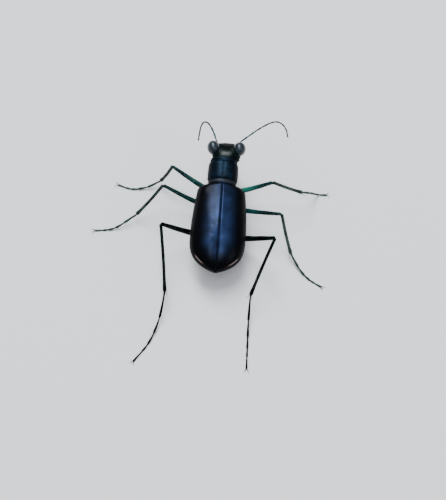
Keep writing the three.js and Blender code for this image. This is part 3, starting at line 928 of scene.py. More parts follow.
@dataclass
class WingCases:
    """The two wing cases and the small shield between their roots."""

    length: float = 7.62
    collar: float = 1.2
    shoulder: float = 1.92
    shoulder_end: float = 0.45
    widest: float = 2.29
    widest_at: float = 0.585
    front_height: float = 1.0
    height: float = 1.45
    highest_at: float = 0.42
    tip_height: float = 0.3
    edge: float = -0.05
    wall: float = 0.09
    seam: float = 0.006
    tuck: float = math.radians(-32)
    tuck_depth: float = 0.28
    rim: float = 0.035
    seam_ridge: float = 0.001
    seam_swell: tuple[float, float] = (0.035, -0.045)
    callus: float = 0.06
    hollow: float = 0.02
    ripple: float = 0.012
    foveae: tuple[float, ...] = (1.5, 2.3, 3.05, 3.9, 4.7, 5.5)
    fovea_depth: float = 0.022
    spine: float = 0.09
    shield: Profile = ((-0.26, 0.12), (0.26, 0.12), (0.0, -0.34))
    shield_at: float = 0.86
    shield_thick: float = 0.14

    def half_width(self, distance: float) -> float:
        """Give half the width of the closed pair.

        Args:
            distance: Place behind the front edge.

        Returns:
            The half width.
        """
        share = clamp(distance / self.length)
        if share > self.widest_at:
            past = (share - self.widest_at) / (1 - self.widest_at)
            return self.widest * (1 - past**3.2) ** 0.72
        flank = mix(self.shoulder, self.widest, math.sin(math.pi / 2 * share / self.widest_at))
        corner = clamp(distance / self.shoulder_end)
        return mix(self.collar, flank, math.sqrt(1 - (1 - corner) ** 2))

    def rise(self, distance: float) -> float:
        """Give the height of the seam over the side edge.

        Args:
            distance: Place behind the front edge.

        Returns:
            The height.
        """
        share = clamp(distance / self.length)
        if share < self.highest_at:
            return mix(self.front_height, self.height, math.sin(math.pi / 2 * share / self.highest_at))
        past = (share - self.highest_at) / (1 - self.highest_at)
        return self.tip_height + (self.height - self.tip_height) * (1 - past**2.4) ** 0.8

    def surface(self, along: float, across: float) -> Vector:
        """Give a point on the right wing case.

        Args:
            along: 0 at the front edge, 1 at the tip.
            across: 0 at the seam, 1 at the tucked-in side.

        Returns:
            The point.
        """
        distance = self.length * 0.9992 * math.sin(math.pi / 2 * along)
        half = max(0.02, self.half_width(distance))
        turn = mix(math.pi / 2, self.tuck, across)
        x = half * squared(math.cos(turn))
        z = squared(math.sin(turn)) * self.rise(distance)
        if turn < 0:
            z = math.sin(turn) * self.tuck_depth * ease(0, 0.5, self.length - distance)
            x = half * (1 - (1 - math.cos(turn)) * 0.55)
        rim = self.rim * hump(across, 0.73, 0.025) * ease(0.05, 0.3, distance)
        z += self.seam_ridge * hump(x, 0.0, 0.07) * ease(5.2, 3.8, distance)
        z += mix(*self.seam_swell, ease(3.6, 5.0, distance)) * hump(x, 0.0, 0.42)
        z += self.callus * hump(distance, 0.72, 0.4) * hump(x, half * 0.78, 0.28)
        z -= self.hollow * hump(distance, 0.6, 0.3) * hump(x, half * 0.45, 0.22)
        z += self.ripple * math.sin(distance * 2.1 + x * 1.7) * hump(x, 1.1, 0.7)
        z -= self.fovea_depth * sum(hump(distance, spot, 0.09) for spot in self.foveae) * hump(x, 0.52, 0.08)
        spine = self.spine * hump(x, 0.0, 0.1) * ease(0.25, 0.0, self.length - distance)
        return Vector((x + rim + self.seam, -distance - spine, self.edge + z))

    def build(self) -> None:
        """Make both wing cases and the shield."""
        outline = np.array([(self.half_width(d), d) for d in np.linspace(0.0, self.length, 240)])
        for name, side in SIDES.items():
            sculpt = Sculpt(f"wing_case_skin_{name}")
            mesh = sculpt.mesh
            chart = mesh.loops.layers.uv.new(WING.map_name)
            bmesh.ops.create_grid(mesh, x_segments=110, y_segments=44, size=0.5)
            for vert in mesh.verts:
                vert.co = self.surface(vert.co.x + 0.5, vert.co.y + 0.5)
            for face in mesh.faces:
                for loop in face.loops:
                    x, y = loop.vert.co.x, -loop.vert.co.y
                    plan = float(np.min(np.hypot(outline[:, 0] - x, outline[:, 1] - y)))
                    inset = mix(self.half_width(y) - x, plan, ease(0.8, 2.2, y))
                    loop[chart].uv = (y / WING.map_unit_mm, inset / WING.map_unit_mm)
            bmesh.ops.scale(mesh, vec=(side, 1, 1), verts=mesh.verts)
            sculpt.shell(self.wall, UP)
            sculpt.done([WING], f"wing_case_{name}")
        shield = Sculpt("scutellum_skin")
        bmesh.ops.create_circle(shield.mesh, cap_ends=True, segments=3, radius=0.5)
        for vert, spot in zip(shield.mesh.verts, self.shield):
            vert.co = (*spot, self.shield_at)
        sheet = bmesh.ops.extrude_face_region(shield.mesh, geom=shield.mesh.faces[:])["geom"]
        top = [part for part in sheet if isinstance(part, bmesh.types.BMVert)]
        bmesh.ops.translate(shield.mesh, vec=UP * self.shield_thick, verts=top)
        bmesh.ops.bevel(
            shield.mesh, geom=shield.mesh.edges[:], offset=0.05, segments=3, profile=0.5, affect="EDGES", material=-1
        )
        shield.done([SHIELD], "scutellum")


@dataclass
class NeckShield:
    """The neck shield with its collars, lobes and sides."""

    back: float = 0.03
    front: float = 2.5
    half_width: float = 1.15
    bulge: float = 0.09
    top: float = 1.0
    bottom: float = -0.95
    collars: tuple[float, float] = (0.15, 0.85)
    groove: float = 0.08
    lobe: float = 0.022
    ridge: float = 0.035
    hairs: int = 170

    def point(self, along: float, turn: float) -> Vector:
        """Give a point on the shield.

        Args:
            along: 0 at the back, 1 at the front.
            turn: Turn from the right side over the top.

        Returns:
            The point.
        """
        dip = sum(hump(along, spot, 0.035) for spot in self.collars) * self.groove
        swell = self.bulge * math.sin(math.pi * along**0.8) ** 0.8 - dip - 0.05 * ease(0.2, 0.0, along)
        swell -= 0.14 * (1 - end_rounding(along, 0.05, 0.05)) + 0.05 * ease(0.8, 0.98, along)
        middle = (self.top + self.bottom) / 2
        x = (self.half_width + swell) * squared(math.cos(turn), 2.25)
        z = ((self.top - self.bottom) / 2 + swell) * squared(math.sin(turn), 2.25)
        if z > 0:
            lobes = self.lobe * ease(0.18, 0.3, along) * ease(0.84, 0.7, along)
            z += lobes * (hump(abs(x), 0.5, 0.36) - 0.9 * hump(x, 0, 0.05))
        ridge = self.ridge * sum(hump(turn, side, 0.06) for side in (0, math.pi, 2 * math.pi))
        x += math.copysign(ridge, x) * ease(0.06, 0.2, along) * ease(0.96, 0.8, along)
        return Vector((x, mix(self.back, self.front, along), middle + z))

    def build(self) -> None:
        """Make the shield."""
        sculpt = Sculpt("neck_shield_skin")
        sculpt.skin(self.point, 72, 96)
        sculpt.done([NECK], "neck_shield")

    def grow(self, white: Coat) -> None:
        """Grow the pale hairs of the lower sides.

        Args:
            white: Takes them.
        """
        draw = random.Random(23)
        for cell, middle, way in ((32, math.pi, 1), (33, 2 * math.pi, -1)):
            for _ in range(self.hairs):
                along, turn = draw.uniform(0.08, 0.92), middle + draw.uniform(0.25, 1.15) * way
                spot = self.point(along, turn)
                out = Vector((math.cos(turn), -0.5, math.sin(turn) - 0.4))
                grow_hair(white, spot, out, draw.uniform(0.28, 0.42), cell, (along, (turn - middle + 2) / 4))


@dataclass
class Head:
    """The head capsule, its eyes, the roots of its feelers and its mouth."""

    back: Vector = field(default_factory=lambda: Vector((0, 2.3, 0.08)))
    bend: Vector = field(default_factory=lambda: Vector((0, 3.62, 0.2)))
    mouth: Vector = field(default_factory=lambda: Vector((0, 3.86, -0.98)))
    widths: Profile = ((0, 1.06), (0.12, 1.12), (0.28, 1.22), (0.5, 0.94), (0.68, 0.86), (1, 0.66))
    heights: Profile = ((0, 0.84), (0.38, 0.8), (0.74, 0.57), (1, 0.44))
    eye: Vector = field(default_factory=lambda: Vector((1.1, 3.32, 0.62)))
    eye_radii: Vector = field(default_factory=lambda: Vector((0.52, 0.6, 0.61)))
    eye_turn: float = math.radians(-10)
    eye_notch: float = 0.1
    rim_in: Vector = field(default_factory=lambda: Vector((0.2, 0.03, 0.06)))
    rim_radii: Vector = field(default_factory=lambda: Vector((0.3, 0.5, 0.54)))
    brow: float = 0.3
    hollow: float = 0.12
    feeler_root: Spot = (0.55, 3.84, 0.0)
    root_radius: float = 0.17
    lip_thick: float = 0.1
    jaw: tuple[Spot, ...] = (
        (0.46, -0.25, -0.2), (0.64, -0.22, 0.3), (0.69, -0.2, 0.75), (0.52, -0.18, 1.2), (0.14, -0.1, 1.6),
    )
    jaw_thick: tuple[float, float] = (0.27, 0.035)
    jaw_teeth: tuple[Spot, ...] = ((0.4, 0.34, 0.13), (0.55, 0.32, 0.11), (0.7, 0.36, 0.1))
    jaw_plate: tuple[Spot, ...] = ((0.56, -0.12, 0.02), (0.72, -0.1, 0.3), (0.78, -0.12, 0.62))
    plate_thick: float = 0.15
    cheek_palp: tuple[Spot, ...] = ((0.45, -0.5, -0.2), (0.82, -0.7, 0.3), (1.0, -0.64, 0.95), (0.9, -0.45, 1.5))
    chin_palp: tuple[Spot, ...] = ((0.25, -0.55, -0.3), (0.3, -0.93, 0.3), (0.38, -0.98, 0.85), (0.34, -0.85, 1.28))
    palp_thick: tuple[float, float] = (0.055, 0.1)

    def line(self, along: float) -> tuple[Vector, Vector]:
        """Give the middle line's point and its direction.

        Args:
            along: 0 at the neck, 1 at the mouth.

        Returns:
            The point and the unit direction.
        """
        a = self.back.lerp(self.bend, along)
        b = self.bend.lerp(self.mouth, along)
        return a.lerp(b, along), (b - a).normalized()

    def point(self, along: float, turn: float) -> Vector:
        """Give a point on the capsule.

        Args:
            along: 0 at the neck, 1 at the mouth.
            turn: Turn from the right side over the top.

        Returns:
            The point.
        """
        centre, forward = self.line(along)
        over = Vector((0, -forward.z, forward.y))
        boxy = mix(2.3, 3.8, ease(0.28, 0.44, along) * ease(0.95, 0.78, along))
        x = through(self.widths, along) * squared(math.cos(turn), boxy)
        z = through(self.heights, along) * squared(math.sin(turn), boxy)
        if z > 0:
            z -= self.hollow * hump(along, 0.46, 0.2) * hump(x, 0, 0.42)
            z += self.brow * hump(along, 0.43, 0.16) * hump(abs(x), 0.87, 0.22)
            z -= 0.05 * hump(along, 0.84, 0.02) + 0.02 * hump(along, 0.14, 0.03)
            z -= 0.03 * hump(along, 0.66, 0.1) * hump(abs(x), 0.42, 0.08)
            z += 0.006 * math.sin(abs(x) * 88) * hump(along, 0.45, 0.14) * hump(abs(x), 0.5, 0.2)
        tight = 1 - 0.08 * hump(along, 0.0, 0.05)
        return centre + RIGHT * x * tight + over * z * tight

    def mouth_point(self, x: float, out: float, down: float) -> Vector:
        """Give a point by the mouth.

        Args:
            x: To the right.
            out: Ahead of the middle of the mouth, square to the face's way down.
            down: Past the mouth, along the face.

        Returns:
            The point.
        """
        forward = (self.mouth - self.bend).normalized()
        ahead = Vector((0, -forward.z, forward.y))
        return self.mouth + RIGHT * x + ahead * out + forward * down

    def build_capsule(self) -> None:
        """Make the capsule with a rim round each eye and a socket at each feeler."""
        sculpt = Sculpt("head_skin")
        sculpt.skin(self.point, 76, 96)
        for side in SIDES.values():
            sculpt.egg(on_side(self.eye - self.rim_in, side), self.rim_radii, side * self.eye_turn)
            sculpt.egg(on_side(self.feeler_root, side), Vector((1, 1, 1)) * self.root_radius)
        sculpt.done([HEAD], "head", STANCE.head)

    def build_eyes(self) -> None:
        """Make the eyes, a little turned out and back."""
        for name, side in SIDES.items():
            sculpt = Sculpt(f"eye_skin_{name}")
            sculpt.egg(on_side(self.eye, side), self.eye_radii, side * self.eye_turn)
            for vert in sculpt.mesh.verts:
                notch = hump(vert.co.y, self.eye.y + 0.6, 0.2) * hump(vert.co.z, self.eye.z - 0.25, 0.25)
                vert.co.x -= side * self.eye_notch * notch
            sculpt.done([EYE], f"eye_{name}", STANCE.head)

    def build_lip(self) -> None:
        """Make the upper lip: a curved ivory plate with three teeth on its edge."""
        sculpt = Sculpt("upper_lip_skin")
        bmesh.ops.create_grid(sculpt.mesh, x_segments=40, y_segments=16, size=0.5)
        for vert in sculpt.mesh.verts:
            x, along = vert.co.x * 2, vert.co.y + 0.5
            edge = 0.62 - 0.16 * abs(x) ** 2.2
            edge += 0.12 * hump(x, 0, 0.12) + 0.07 * (hump(x, 0.36, 0.09) + hump(x, -0.36, 0.09))
            width = 0.6 - 0.06 * along
            bow = 0.12 * (1 - x * x) + 0.06 * math.sin(math.pi * along)
            vert.co = self.mouth_point(x * width, 0.2 + bow - 0.12 * along, 0.02 + along * edge)
        sculpt.shell(self.lip_thick, AHEAD)
        sculpt.done([LIP], "upper_lip", STANCE.head)

    def mouth_path(self, spots: Sequence[Spot], side: int) -> Path:
        """Lay a line through points by the mouth, on one side."""
        return Path([self.mouth_point(side * x, out, down) for x, out, down in spots])

    def build_jaws(self) -> None:
        """Make the sickle jaws with the teeth on their inner edges."""
        for name, side in SIDES.items():
            sculpt = Sculpt(f"jaw_skin_{name}")
            line = self.mouth_path(self.jaw, side)
            sculpt.tube(
                line,
                lambda share, _: mix(*self.jaw_thick, share**1.3) * end_rounding(share, 0.04, 0.03),
                steps=48,
                sides=24,
                up=AHEAD,
                flat=0.72,
            )
            for share, reach, thick in self.jaw_teeth:
                root = line.at(share)
                tip = root + Vector((-side * reach, 0, -0.1))
                sculpt.thorn([root, root.lerp(tip, 0.5) + UP * 0.03, tip], thick, sides=12)
            plate = self.mouth_path(self.jaw_plate, side)
            sculpt.tube(plate, lambda share, _: self.plate_thick * end_rounding(share, 0.3, 0.6), 18, 14, finish=1)
            sculpt.done([JAW, LIP], f"jaw_{name}", STANCE.head)

    def build_palps(self) -> None:
        """Make the palps, each a string of slim joints."""
        for kind, spots, joints, finish in (("cheek", self.cheek_palp, 4, STEM), ("chin", self.chin_palp, 3, LIP)):
            for name, side in SIDES.items():
                line = self.mouth_path(spots, side)
                sculpt = Sculpt(f"{kind}_palp_skin_{name}")
                for i in range(joints):
                    sculpt.tube(
                        line,
                        lambda share, _: mix(*self.palp_thick, share) * end_rounding(share, 0.1, 0.2),
                        steps=14,
                        sides=14,
                        span=(i / joints - 0.01, (i + 1) / joints + 0.01),
                        finish=int(finish is LIP and i == joints - 1),
                    )
                sculpt.done([finish, STEM], f"{kind}_palp_{name}", STANCE.head)

    def grow(self, dark: Coat) -> None:
        """Grow the bristles over the eyes, on the front plate and along the lip.

        Args:
            dark: Takes them.
        """
        for side in SIDES.values():
            turn = math.pi / 2 - side * 0.62
            for i, along in enumerate((0.3, 0.46)):
                out = Vector((side * 0.25, -0.1, 1))
                grow_hair(dark, self.point(along, turn), out, 0.5, 36, (along, 0.5 + side * 0.3), STANCE.head, 0.014)
            for i in range(4):
                x = side * (0.12 + 0.13 * i)
                lip = self.mouth_point(x, 0.24, 0.42 - 0.05 * i)
                grow_hair(dark, lip, Vector((side * 0.1 * i, 0.9, -0.6)), 0.34, 37, (x + 0.5, 0.5), STANCE.head, 0.012)
                face = self.point(0.9, math.pi / 2 - side * (0.25 + 0.2 * i))
                grow_hair(dark, face, Vector((side * 0.2, 1, 0.3)), 0.22, 37, (x + 0.5, 0.2), STANCE.head, 0.01)

    def build(self) -> None:
        """Make the whole head."""
        self.build_capsule()
        self.build_eyes()
        self.build_lip()
        self.build_jaws()
        self.build_palps()


@dataclass
class Feeler:
    """A feeler of eleven joints: a shiny stem of four and a dull outer length of seven."""

    name: str
    points: Sequence[Spot]
    cell: int
    seed: int
    stem_share: float = 0.38
    joints: tuple[float, ...] = (0.95, 0.35, 1.15, 0.85, 0.98, 0.9, 0.85, 0.8, 0.75, 0.7, 0.78)
    thick: float = 0.085
    first_thick: float = 1.5
    end_thick: tuple[float, float] = (0.92, 0.7)
    hairs: int = 70
    hair_length: float = 0.09
    hair_thick: float = 0.009

    def build(self, down: Coat) -> None:
        """Make the feeler.

        Args:
            down: Takes its bristles.
        """
        line = Path([Vector(p) for p in self.points])
        ends = np.concatenate([[0.0], np.cumsum(self.joints)]) / sum(self.joints)
        shares = np.interp(ends, [0, ends[4], 1], [0, self.stem_share, 1])
        for piece, first, last, finish in (("stem", 0, 4, STEM), ("end", 4, 11, FELT)):
            sculpt = Sculpt(f"feeler_{piece}_skin_{self.name}")
            for i in range(first, last):
                swell = self.first_thick if i == 0 else 1.0 if i < 4 else mix(*self.end_thick, (i - 4) / 6)
                base = self.thick * swell
                sculpt.tube(
                    line,
                    lambda share, _: base * mix(0.66, 1.0, ease(0, 0.85, share)) * end_rounding(share, 0.08, 0.12),
                    steps=16,
                    sides=16,
                    span=(shares[i] - 0.004, shares[i + 1]),
                )
            sculpt.done([finish], f"feeler_{piece}_{self.name}", FLOOR)
        draw = random.Random(self.seed)
        for i in range(3, 11):
            for _ in range(self.hairs):
                share = mix(shares[i], shares[i + 1], draw.random())
                turn = draw.uniform(0, 2 * math.pi)
                centre, side, over, forward = line.frames([share], UP)[0]
                out = side * math.cos(turn) + over * math.sin(turn)
                root = FLOOR @ (centre + out * self.thick * 0.55)
                at = (share, turn / 2 / math.pi)
                down.add(root, out * 0.6 + forward, forward, self.hair_length, self.hair_thick, self.cell, at)


@dataclass
class Underside:
    """The thorax under the wing cases and the ringed belly behind it."""

    length: float = 7.2
    front: float = 0.95
    share: float = 0.88
    depth: float = 1.22
    deepest_at: float = 2.4
    tail_depth: float = 0.42
    waist: float = 3.75
    ring_start: float = 3.95
    ring_step: float = 0.56
    step_in: float = 0.05
    seam_at: float = 1.75
    crown: float = 0.35
    crown_in_front: float = 1.0
    wings: WingCases = field(default_factory=WingCases)

    def point(self, distance: float, turn: float, plates: bool) -> Vector:
        """Give a point on the underside.

        Args:
            distance: Place behind the front edge of the wing cases.
            turn: Turn from the right side; over the top is inside the wing cases.
            plates: Whether the belly's steps are drawn.

        Returns:
            The point.
        """
        top = self.wings.edge - 0.06
        half = mix(self.front, self.share * self.wings.half_width(distance), clamp(distance / 1.2))
        past = clamp((distance - self.deepest_at) / (self.length - self.deepest_at))
        depth = mix(self.depth, self.tail_depth, past**1.7)
        if plates:
            share = ((distance - self.ring_start) / self.ring_step) % 1
            step = self.step_in * (share**2 - 0.5) * ease(self.length, self.length - 0.5, distance)
            depth += step
            half += step
        else:
            depth -= 0.07 * hump(distance, self.seam_at, 0.06)
            half -= 0.05 * hump(distance, self.seam_at, 0.06)
        crown = mix(self.crown_in_front, self.crown, ease(0.0, 0.7, distance))
        x = half * squared(math.cos(turn))
        z = squared(math.sin(turn)) * (depth if turn > math.pi else crown)
        if not plates:
            z += 0.06 * hump(x, 0, 0.05) * (turn > math.pi)
            z += 0.05 * hump(abs(x), half * 0.72 - 0.08 * distance, 0.05) * (turn > math.pi)
        return Vector((x, -distance, top + z))

    def build(self) -> None:
        """Make the thorax and the belly."""
        for name, plates, span, rows, finish in (
            ("thorax", False, (-0.5, self.waist), 64, UNDER),
            ("abdomen", True, (self.waist - 0.05, self.length), 120, BELLY),
        ):
            sculpt = Sculpt(f"{name}_skin")
            sculpt.skin(lambda distance, turn: self.point(distance, turn, plates), rows, 72, span)
            sculpt.done([finish], name)

    def grow(self, white: Coat) -> None:
        """Grow the pale hairs of the thorax's flanks and the few along the belly's sides.

        Args:
            white: Takes them.
        """
        draw = random.Random(31)
        for cell, middle, way in ((34, math.pi, 1), (35, 2 * math.pi, -1)):
            for start, end, count, low, high in ((0.1, 3.6, 330, 0.15, 1.25), (3.9, 6.6, 110, 0.1, 0.7)):
                for _ in range(count):
                    distance, turn = draw.uniform(start, end), middle + draw.uniform(low, high) * way
                    spot = self.point(distance, turn, start > self.waist)
                    out = Vector((math.cos(turn), -0.6, math.sin(turn) - 0.2))
                    at = (distance / self.length, (turn - middle + 2) / 4)
                    grow_hair(white, spot, out, draw.uniform(0.26, 0.44), cell, at)


@dataclass(frozen=True)
class LegPair:
    """What a left and a right leg have in common; places are on the right side of the level trunk."""

    socket: Spot
    hip: Spot
    thick: float
    upper: Finish
    lower: Finish


PAIRS = {
    "front": LegPair((0.6, 1.1, -0.7), (0.92, 0.3, -1.75), 0.235, LEG, SHIN),
    "middle": LegPair((0.8, -0.7, -0.9), (1.2, -1.05, -1.9), 0.21, LEG, SHIN),
    "hind": LegPair((0.75, -3.0, -0.9), (1.35, -3.7, -1.85), 0.245, HIND, HIND),
}


@dataclass(frozen=True)
class HairRows:
    """Rows of hairs along a part of a leg. Thigh, shin, foot and hip are parts 0 to 3."""

    coat: Coat
    part: int
    reach: float
    count: int
    length: float
    span: tuple[float, float]
    rows: int = 6
    thick: float = 0.011


@dataclass
class Leg:
    """One leg, from the hip on the level trunk to the claws on the floor."""

    name: str
    cell: int
    pair: LegPair
    side: int
    knee: Vector
    ankle: Vector
    foot: Sequence[Vector]
    hip_thick: tuple[float, float] = (0.5, 0.24)
    ring_thick: float = 0.2
    thigh_swell: Profile = ((0, 0.88), (0.22, 1.0), (0.6, 0.86), (0.93, 0.68), (1, 0.72))
    shin_thick: float = 0.14
    shin_swell: Profile = ((0, 1.15), (0.07, 0.94), (0.8, 0.94), (0.97, 1.2), (1, 1.1))
    spur_thick: float = 0.035
    toes: tuple[float, ...] = (0.33, 0.21, 0.16, 0.12, 0.18)
    toe_thick: tuple[float, float] = (0.112, 0.084)
    toe_hairs: int = 9
    toe_hair_length: float = 0.16
    toe_hair_thick: float = 0.012
    claw_thick: float = 0.04
    claw_tip: float = 0.02
    sole: float = 0.003

    @property
    def socket(self) -> Vector:
        """Where the hip starts, over the floor."""
        return STANCE.lift @ on_side(self.pair.socket, self.side)

    @property
    def hip(self) -> Vector:
        """Where the hip ends, over the floor."""
        return STANCE.lift @ on_side(self.pair.hip, self.side)

    @property
    def square(self) -> Vector:
        """The way square to the leg's own plane."""
        return (self.knee - self.hip).cross(self.ankle - self.knee).normalized()

    def build(self, white: Coat, dark: Coat) -> None:
        """Make the leg's pieces and grow its hairs.

        Args:
            white: Takes the pale hairs.
            dark: Takes the bristles.
        """
        draw = random.Random(self.cell)
        self.build_hip()
        thigh = self.build_thigh()
        shin = self.build_shin()
        self.build_foot(dark, draw)
        thick = self.pair.thick * 0.9
        self.grow(Path([self.socket, self.hip]), HairRows(white, 3, 0.42, 90, 0.36, (0.35, 0.95)), draw)
        self.grow(thigh, HairRows(white, 0, thick, 60, 0.28, (0.05, 0.95)), draw)
        self.grow(shin, HairRows(white, 1, self.shin_thick, 90, 0.2, (0.08, 0.97)), draw)
        self.grow(shin, HairRows(dark, 1, self.shin_thick, 110, 0.2, (0.1, 0.99)), draw)

    def build_hip(self) -> None:
        """Make the hip and the ring that joins it to the thigh."""
        socket, hip, square = self.socket, self.hip, self.square
        sculpt = Sculpt(f"hip_skin_{self.name}")
        line = Path([socket, socket.lerp(hip, 0.5), hip])
        sculpt.tube(
            line,
            lambda share, _: mix(*self.hip_thick, share**1.4) * end_rounding(share, 0.1, 0.25),
            steps=26,
            sides=28,
            up=square,
        )
        ring = Path([hip.lerp(socket, 0.16), hip.lerp(self.knee, 0.05), hip.lerp(self.knee, 0.12)])
        sculpt.tube(ring, lambda share, _: self.ring_thick * end_rounding(share, 0.3, 0.35), 18, 24, up=square)
        sculpt.done([self.pair.upper], f"hip_{self.name}", FLOOR)

    def build_thigh(self) -> Path:
        """Make the thigh.

        Returns:
            Its middle line.
        """
        sag = self.hip.lerp(self.knee, 0.45) - UP * 0.1
        line = Path([self.hip.lerp(self.knee, 0.03), sag, self.knee])
        sculpt = Sculpt(f"thigh_skin_{self.name}")
        sculpt.tube(
            line,
            lambda share, _: self.pair.thick * through(self.thigh_swell, share) * end_rounding(share, 0.04, 0.05),
            steps=56,
            sides=24,
            up=self.square,
            flat=0.9,
        )
        sculpt.done([self.pair.upper], f"thigh_{self.name}", FLOOR)
        return line

    def build_shin(self) -> Path:
        """Make the shin with its two end spurs.

        Returns:
            Its middle line.
        """
        square = self.square
        down = (self.ankle - self.knee).normalized()
        bow = square.cross(down) * 0.05
        line = Path([self.knee, self.knee.lerp(self.ankle, 0.5) + bow, self.ankle])
        sculpt = Sculpt(f"shin_skin_{self.name}")
        sculpt.tube(
            line,
            lambda share, _: self.shin_thick * through(self.shin_swell, share) * end_rounding(share, 0.03, 0.03),
            steps=56,
            sides=20,
            up=square,
        )
        for side in SIDES.values():
            root = self.ankle - down * 0.12 + square * side * 0.07
            tip = root + down * 0.52 + square * side * 0.22
            sculpt.thorn([root, root.lerp(tip, 0.55) + square * side * 0.04, tip], self.spur_thick)
        sculpt.done([self.pair.lower], f"shin_{self.name}", FLOOR)
        return line

    def build_foot(self, dark: Coat, draw: random.Random) -> None:
        """Make the five foot joints and the claws.

        Args:
            dark: Takes the bristles.
            draw: Seeded draws.
        """
        line = Path([self.ankle, *self.foot])
        sculpt = Sculpt(f"foot_skin_{self.name}")
        start = 0.0
        for i, part in enumerate(self.toes):
            end = start + part
            base = mix(*self.toe_thick, i / 4)
            sculpt.tube(
                line,
                lambda share, _: base * mix(0.62, 1.0, ease(0.1, 0.9, share)) * end_rounding(share, 0.05, 0.05),
                steps=22,
                sides=16,
                up=self.square,
                span=(start - 0.006, min(end, 0.999)),
            )
            for side in SIDES.values():
                for _ in range(self.toe_hairs):
                    share = mix(start, end, draw.uniform(0.15, 1.0))
                    centre, _, _, forward = line.frames([clamp(share, 0.01, 0.99)], UP)[0]
                    aside = forward.cross(UP).normalized() * side
                    under = forward.cross(aside).normalized()
                    under = under if under.z < 0 else -under
                    root = FLOOR @ (centre + (aside * 0.7 + under * 0.3) * base * 0.7)
                    along, at = forward + aside * 0.55 + under * 0.1, (share, 0.5 + side * 0.2)
                    cell = self.cell * 4 + 2
                    dark.add(root, along, forward, self.toe_hair_length, self.toe_hair_thick, cell, at)
            start = end
        heel, toe = self.foot[-2:]
        ahead = (toe - heel).normalized()
        aside = ahead.cross(UP).normalized()
        for side in SIDES.values():
            root = toe - ahead * 0.06 + aside * side * 0.02
            bend = root + ahead * 0.26 + aside * side * 0.1 + UP * 0.05
            tip = root + ahead * 0.4 + aside * side * 0.24
            tip.z = self.claw_tip
            sculpt.thorn([root, bend, tip], self.claw_thick, sides=10)
        for vert in sculpt.mesh.verts:
            vert.co.z = max(vert.co.z, self.sole)
        sculpt.done([self.pair.lower], f"foot_{self.name}", FLOOR)

    def grow(self, line: Path, hairs: HairRows, draw: random.Random) -> None:
        """Grow hairs in rows along a limb.

        Args:
            line: The limb's middle line.
            hairs: What grows.
            draw: Seeded draws.
        """
        for i in range(hairs.count):
            share = mix(*hairs.span, (i + draw.random()) / hairs.count)
            turn = 2 * math.pi * ((i % hairs.rows) + draw.uniform(-0.2, 0.2)) / hairs.rows
            centre, side, over, forward = line.frames([share], self.square)[0]
            out = side * math.cos(turn) + over * math.sin(turn)
            root = FLOOR @ (centre + out * hairs.reach * 0.6)
            length = hairs.length * draw.uniform(0.7, 1.15)
            at = (share, (turn / 2 / math.pi) % 1)
            hairs.coat.add(root, out * 0.75 + forward, forward, length, hairs.thick, self.cell * 4 + hairs.part, at)


@dataclass
class Legs:
    """The six legs as they stand in the pose: knee, ankle and foot of each, over the floor."""

    stand: dict[str, tuple[Spot, ...]] = field(
        default_factory=lambda: {
            "front_left": (
                (-4.4, 2.6, 3.0), (-5.42, 2.62, 0.75), (-6.56, 2.2, 0.26), (-7.87, 2.01, 0.08), (-9.04, 2.32, 0.075),
            ),
            "front_right": (
                (4.22, 1.12, 3.7), (6.7, 1.2, 2.35), (7.4, 1.95, 1.25), (8.0, 2.55, 0.22), (8.7, 2.66, 0.075),
            ),
            "middle_left": (
                (-4.98, 0.27, 3.5), (-7.17, -1.04, 0.8), (-8.7, -2.08, 0.28), (-9.6, -2.33, 0.08),
                (-10.57, -2.48, 0.075),
            ),
            "middle_right": (
                (5.16, -1.9, 3.5), (6.1, -4.0, 0.8), (6.92, -5.15, 0.28), (7.75, -5.98, 0.08), (8.81, -6.65, 0.075),
            ),
            "hind_left": (
                (-4.73, -4.35, 4.6), (-4.04, -9.03, 1.5), (-4.35, -11.1, 0.58), (-5.01, -13.11, 0.1),
                (-6.11, -14.99, 0.075),
            ),
            "hind_right": (
                (4.8, -5.1, 4.7), (3.05, -8.82, 1.5), (3.02, -10.79, 0.58), (3.09, -12.87, 0.1), (3.17, -15.0, 0.075),
            ),
        }
    )

    def build(self, white: Coat, dark: Coat) -> None:
        """Make the legs.

        Args:
            white: Takes the pale hairs.
            dark: Takes the bristles.
        """
        for cell, (name, joints) in enumerate(self.stand.items()):
            pair, side = name.split("_")
            knee, ankle, *foot = (Vector(joint) for joint in joints)
            Leg(name, cell, PAIRS[pair], SIDES[side], knee, ankle, foot).build(white, dark)


FEELERS = (
    Feeler(
        "left",
        (
            (-0.5, 3.35, 4.75), (-0.7, 3.85, 5.1), (-1.1, 4.75, 5.45), (-1.51, 5.45, 5.5), (-1.92, 5.84, 5.2),
            (-2.2, 5.87, 4.6), (-2.34, 5.72, 3.8), (-2.44, 5.45, 3.0),
        ),
        cell=0,
        seed=7,
    ),
    Feeler(
        "right",
        (
            (0.5, 3.35, 4.75), (1.1, 3.85, 5.15), (1.82, 4.38, 5.45), (2.85, 5.25, 5.62), (3.9, 6.05, 5.5),
            (4.55, 6.22, 5.15), (5.0, 5.98, 4.65), (5.18, 5.6, 4.05),
        ),
        cell=1,
        seed=11,
    ),
)


